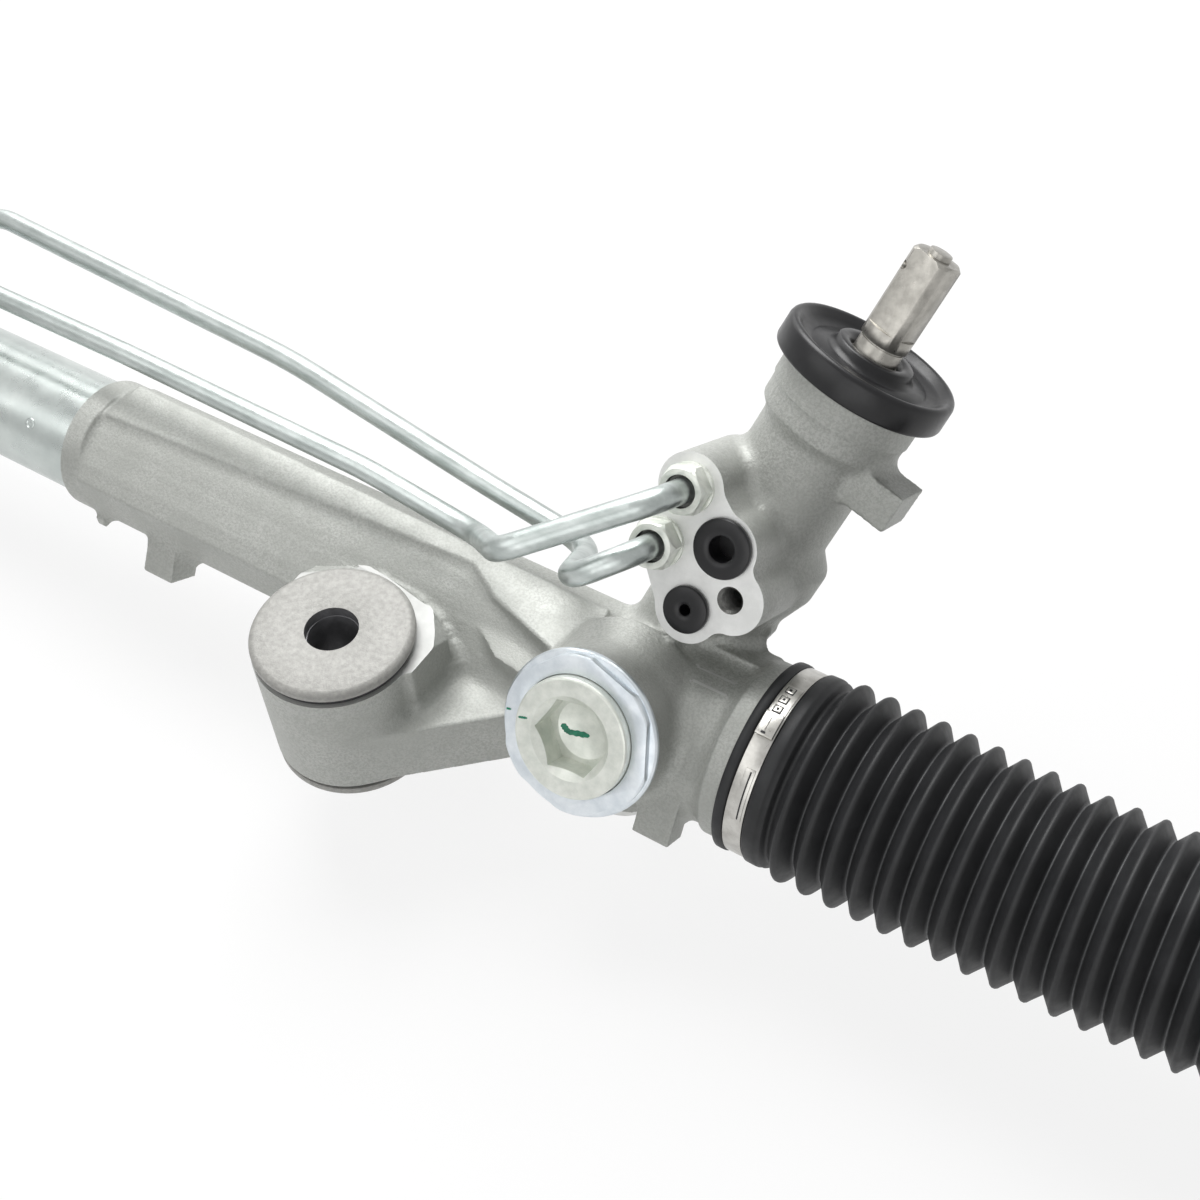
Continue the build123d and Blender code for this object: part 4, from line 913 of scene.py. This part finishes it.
def yokeLocknut():
    seat, face, rim, clip = yoke["seat"], yoke["nutFace"], yoke["nut"], yoke["nutClip"]
    nut = hexBar("yoke_locknut_piece", yokePlace, yoke["nutFlats"], yoke["nutTurn"], seat + 2.0, face)
    outline = [
        (0.0, seat + 1.0), (clip, seat + 1.0), (clip, face - 0.5), (clip - 0.6, face + 0.01),
        (0.0, face + 0.01),
    ]
    combine(nut, turnedShape("clip", yokePlace, outline, 128), "INTERSECT")
    outline = [
        (0.0, seat), (rim - 0.2, seat), (rim, seat + 0.4), (rim, seat + 1.8), (rim - 0.7, seat + 2.6),
        (0.0, seat + 2.6),
    ]
    combine(nut, turnedShape("flange", yokePlace, outline, 128), "UNION")
    combine(nut, roundBar("hole", yokePlace, yoke["plug"] + 0.35, seat - 1, face + 1, 128), "DIFFERENCE")
    bevelEdges(nut, 0.3, 2, 28.0)
    dress(nut, "nutZinc")
    smoothShade(nut, 35.0)
    standFor(nut, "yoke_locknut")


yokePlug()
yokeLocknut()
print("yoke plug and locknut ready")

# Transport plugs in the two hose ports
portPlugs = {
    "return": {"node": "return_plug", "hole": 9.0, "head": 11.4, "bore": 4.9},
    "pressure": {"node": "pressure_plug", "hole": 8.0, "head": 9.1, "bore": 2.1},
}


def makePortPlug(port, look):
    hole, head, bore = look["hole"], look["head"], look["bore"]
    outline = [
        (0.0, -9.0), (hole - 0.3, -9.0), (hole - 0.05, -8.4), (hole - 0.05, 0.0), (head - 0.25, 0.0),
        (head, 0.3), (head, 1.5), (head - 0.3, 2.1), (head - 1.0, 2.4), (bore + 2.2, 2.35),
        (bore + 0.7, 2.25), (bore + 0.15, 1.8), (bore, 1.0), (bore, -7.0), (0.0, -7.0),
    ]
    plug = turnedShape(look["node"] + "_piece", portPlace(port), outline, 96)
    dress(plug, "capPlastic")
    smoothShade(plug, 40.0)
    standFor(plug, look["node"])


for port, look in portPlugs.items():
    makePortPlug(port, look)
print("port plugs ready")

# Dust cap on the valve tower, with the lip that seals on the shaft
cap = {"radius": 34.4, "bottom": 150.8, "top": 162.5, "rim": 30.4, "shaft": 9.58}


def dustCap():
    radius, low, top = cap["radius"], cap["bottom"], cap["top"]
    rim, hole, seat = cap["rim"] + 0.02, cap["shaft"] + 0.1, towerTop + 0.02
    outline = [
        (rim, low), (radius - 0.7, low), (radius - 0.1, low + 0.4), (radius + 0.15, low + 1.2),
        (radius, top - 2.4), (radius - 0.4, top - 1.2), (radius - 1.2, top - 0.4),
        (radius - 2.2, top - 0.25), (radius - 3.4, top - 0.7), (radius - 5.4, top - 2.8),
        (radius - 6.8, top - 3.7), (24.6, top - 4.4), (23.6, top - 4.3), (22.8, top - 3.6),
        (18.4, top - 3.5), (17.0, top - 3.0), (15.9, top - 1.3), (15.5, top + 0.7), (15.0, top + 1.15),
        (13.0, top + 1.2), (11.8, top + 1.1), (10.9, top + 0.4), (hole, top - 1.2), (hole, top - 2.2),
        (12.0, top - 4.3), (15.0, top - 5.6), (20.5, seat), (rim, seat),
    ]
    piece = turnedShape("dust_cap_piece", shaftPlace, outline, 144)
    dress(piece, "capPlastic")
    smoothShade(piece, 50.0)
    standFor(piece, "dust_cap")


dustCap()
print("dust cap ready")

# Band clamps on the big ends of the boots
clamp = {
    "inner": 37.4, "thick": 0.8, "start": 4.5, "width": 7.8, "hook": (67.0, 81.5), "tongue": (78.0, 103.5),
    "holes": (84.7, 91.6, 99.3), "slot": (17.0, 47.0),
}


def bandStrip(name, place, low, high, inner, outer, first, last, edge):
    deselectAll()
    bpy.ops.mesh.primitive_circle_add(vertices=4, radius=1.0, fill_type="NGON")
    strip = bpy.context.object
    strip.name = name
    turn = math.radians(max(first, last))
    corners = [(inner, low), (outer, low), (outer, high), (inner, high)]
    for vertex, (radius, height) in zip(strip.data.vertices, corners):
        vertex.co = (radius * mm * math.cos(turn), radius * mm * math.sin(turn), height * mm)
    span = abs(last - first)
    spinShape(strip, place, max(4, int(span / 2)), math.radians(span))
    if edge:
        bevelEdges(strip, edge)
    return strip


def makeClamp(side, start):
    # The angle runs from the -Y side over the top; heights run back towards the rack's middle
    place = placeAt(crossing, -alongDir * side, (0, -1, 0))
    outer = clamp["inner"] + clamp["thick"]
    near, far = -(start + clamp["start"] + clamp["width"]), -(start + clamp["start"])
    inner = clamp["inner"] + 0.02
    ring = turnedShape("band", place, [(inner, near), (outer, near), (outer, far), (inner, far)], 144, 0.25)

    def strip(low, high, rise, tall, angles, edge, paint):
        first, last = side * angles[0], side * angles[1]
        piece = bandStrip("strip", place, near + low, near + high, outer + rise, outer + tall,
                          first, last, edge)
        dress(piece, *clampBandAndShade)
        for face in piece.data.polygons:
            face.material_index = paint
        return piece

    dress(ring, *clampBandAndShade)
    hook, tongue, slot = clamp["hook"], clamp["tongue"], clamp["slot"]
    # Strips with finish 1 take the black rubber finish as painted shade: under the hook, in its window, along
    # the slot, and round and inside the raised marks
    pieces = [
        strip(0.5, 7.3, -0.1, 0.55, tongue, 0.18, 0), strip(0.3, 7.5, 0.7, 2.0, hook, 0.35, 0),
        strip(4.1, 4.6, 1.9, 2.25, (70.0, 79.0), 0.12, 0), strip(3.6, 5.4, 1.9, 2.12, (68.2, 69.6), 0.1, 1),
        strip(0.9, 4.9, -0.1, 0.42, (slot[0] - 1.5, slot[1] + 1.5), 0.3, 0),
        strip(2.1, 2.75, 0.3, 0.46, slot, 0.05, 1),
        strip(0.9, 6.9, -0.05, 0.72, (hook[0] + 1.0, hook[1] - 1.0), 0.0, 1),
    ]
    for angle in clamp["holes"]:
        pieces.append(strip(2.6, 6.2, 0.5, 0.75, (angle - 2.5, angle + 2.5), 0.1, 1))
        pieces.append(strip(2.95, 5.85, 0.6, 0.95, (angle - 2.0, angle + 2.0), 0.2, 0))
        pieces.append(strip(3.9, 4.9, 0.8, 0.99, (angle - 0.9, angle + 0.9), 0.05, 1))
    joinPieces(ring, pieces)
    return ring


# The band's steel finish, and the rubber finish used as painted shade on the clamps
clampBandAndShade = ("stainlessBand", "bushRubber")
largeClamps = joinPieces(makeClamp(1, boots["rightStart"]), [makeClamp(-1, boots["leftStart"])])
largeClamps.name = "large_clamps_piece"
smoothShade(largeClamps, 35.0)
standFor(largeClamps, "large_clamps")
print("clamps ready")


# Assembler's paint marks, laid on the finished surfaces
def paintStroke(piece, place, start, end, width, height):
    deselectAll()
    first, last = Vector((*start, height)) * mm, Vector((*end, height)) * mm
    bpy.ops.mesh.primitive_grid_add(x_subdivisions=14, y_subdivisions=5, size=1.0)
    stroke = bpy.context.object
    length = (last - first).length
    for vertex in stroke.data.vertices:
        along, across = vertex.co.x, vertex.co.y
        taper = math.sqrt(max(0.02, 1 - (2 * along) ** 4)) * (1 + 0.16 * math.sin(23 * along + 5 * across))
        vertex.co = (along * length, across * width * mm * taper, 0)
    turn = math.atan2((last - first).y, (last - first).x)
    stroke.data.transform(Matrix.Rotation(turn, 4, "Z"))
    stroke.matrix_world = place @ Matrix.Translation((first + last) / 2)
    applyModifier(stroke, "SHRINKWRAP", target=piece, wrap_method="PROJECT", use_project_z=True,
                  use_negative_direction=True, use_positive_direction=False, offset=0.00006)
    applyModifier(stroke, "SOLIDIFY", thickness=0.0001, offset=1.0)
    settle(stroke)
    dress(stroke, "greenPaint")
    joinPieces(piece, [stroke])


paintMarks = [
    ("yoke_plug_piece", (-10.0, -2.2), (-6.6, -5.0), 2.2, 50.0),
    ("yoke_plug_piece", (-7.6, -4.8), (1.5, -2.8), 2.2, 50.0),
    ("yoke_plug_piece", (-22.4, -0.9), (-18.6, 0.3), 0.9, 58.0),
    ("yoke_locknut_piece", (-31.0, -2.4), (-28.0, -1.6), 0.8, 54.0),
]
for name, start, end, width, height in paintMarks:
    paintStroke(bpy.data.objects[name], yokePlace, start, end, width, height)
print("paint marks ready")

# Dimple where the cylinder tube is staked
stake = {"along": -311.0, "angle": 42.0, "ring": 2.1, "tube": 27.25}


def stakeMark():
    turn, ring = math.radians(stake["angle"]), stake["ring"]
    outward = Vector((0, -math.cos(turn), math.sin(turn)))
    middle = crossing + alongDir * stake["along"] * mm + outward * (stake["tube"] + 0.02) * mm
    place = placeAt(middle, outward, alongDir)
    outline = [
        (0.0, -0.9), (1.5, -0.9), (ring + 0.5, -0.9), (ring + 0.45, 0.0), (ring + 0.15, 0.3),
        (ring - 0.15, 0.34), (ring - 0.4, 0.1), (ring - 0.8, -0.1), (0.0, 0.0),
    ]
    mark = turnedShape("tubeStake", place, outline, 48)
    dress(mark, "tubeSteel")
    smoothShade(mark, 50.0)
    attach(mark, bodyOf["cylinder_tube"])


stakeMark()
print("stake mark ready")


# Camera and studio
def addCamera():
    data = bpy.data.cameras.new("photoCamera")
    data.lens = cameraView["lens"]
    data.sensor_width = 36.0
    data.clip_start = 0.01
    data.clip_end = 50.0
    camera = bpy.data.objects.new("photoCamera", data)
    bpy.context.scene.collection.objects.link(camera)
    camera.location = cameraView["place"]
    camera.rotation_euler = [math.radians(a) for a in cameraView["turnDeg"]]
    bpy.context.scene.camera = camera


def addLamp(name, place, target, size, power):
    data = bpy.data.lights.new(name, "AREA")
    data.shape = "RECTANGLE"
    data.size, data.size_y = size
    data.energy = power
    lamp = bpy.data.objects.new(name, data)
    bpy.context.scene.collection.objects.link(lamp)
    lamp.location = place
    lamp.rotation_euler = (Vector(target) - Vector(place)).to_track_quat("-Z", "Y").to_euler()
    return lamp


def mixShaders(tree, share, first, last, target):
    mix = tree.nodes.new("ShaderNodeMixShader")
    tree.links.new(share, mix.inputs["Fac"])
    tree.links.new(first.outputs[0], mix.inputs[1])
    tree.links.new(last.outputs[0], mix.inputs[2])
    tree.links.new(mix.outputs[0], target.inputs["Surface"])


def mathOf(tree, operation, first, last):
    node = tree.nodes.new("ShaderNodeMath")
    node.operation = operation
    for socket, value in zip(node.inputs, (first, last)):
        if isinstance(value, float):
            socket.default_value = value
        else:
            tree.links.new(value, socket)
    return node.outputs[0]


def addFloor():
    # White to the camera and in mirror images, but still with a part of its shadow
    low = cadBox[0]
    deselectAll()
    bpy.ops.mesh.primitive_plane_add(size=8.0, location=(0, 0, low.z - 0.0005))
    floor = bpy.context.object
    floor.name = "studioFloor"
    paper, tree, shader = newFinish("floorPaper", studio["floorColour"], 0.0, 0.9)
    floor.data.materials.append(paper)
    glow = tree.nodes.new("ShaderNodeEmission")
    glow.inputs["Strength"].default_value = 1.0
    path = tree.nodes.new("ShaderNodeLightPath")
    seen = mathOf(tree, "MAXIMUM", path.outputs["Is Camera Ray"], path.outputs["Is Glossy Ray"])
    share = mathOf(tree, "MULTIPLY", seen, studio["floorGlow"])
    mixShaders(tree, share, shader, glow, tree.nodes["Material Output"])


def addWorld():
    world = bpy.data.worlds.new("studioWorld")
    bpy.context.scene.world = world
    world.use_nodes = True
    tree = world.node_tree
    sky, mirrored = tree.nodes["Background"], tree.nodes.new("ShaderNodeBackground")
    for node, strength in ((sky, studio["worldStrength"]), (mirrored, studio["glossyStrength"])):
        node.inputs["Color"].default_value = (1, 1, 1, 1)
        node.inputs["Strength"].default_value = strength
    path = tree.nodes.new("ShaderNodeLightPath")
    mixShaders(tree, path.outputs["Is Glossy Ray"], sky, mirrored, tree.nodes["World Output"])


def addStudio():
    addFloor()
    addWorld()
    for name, (place, power) in studio["lamps"].items():
        addLamp(name, place, studio["lampAim"], studio["lampSize"], power)
    bpy.context.scene.view_settings.view_transform = "Standard"


addCamera()
addStudio()
print("camera and studio ready")
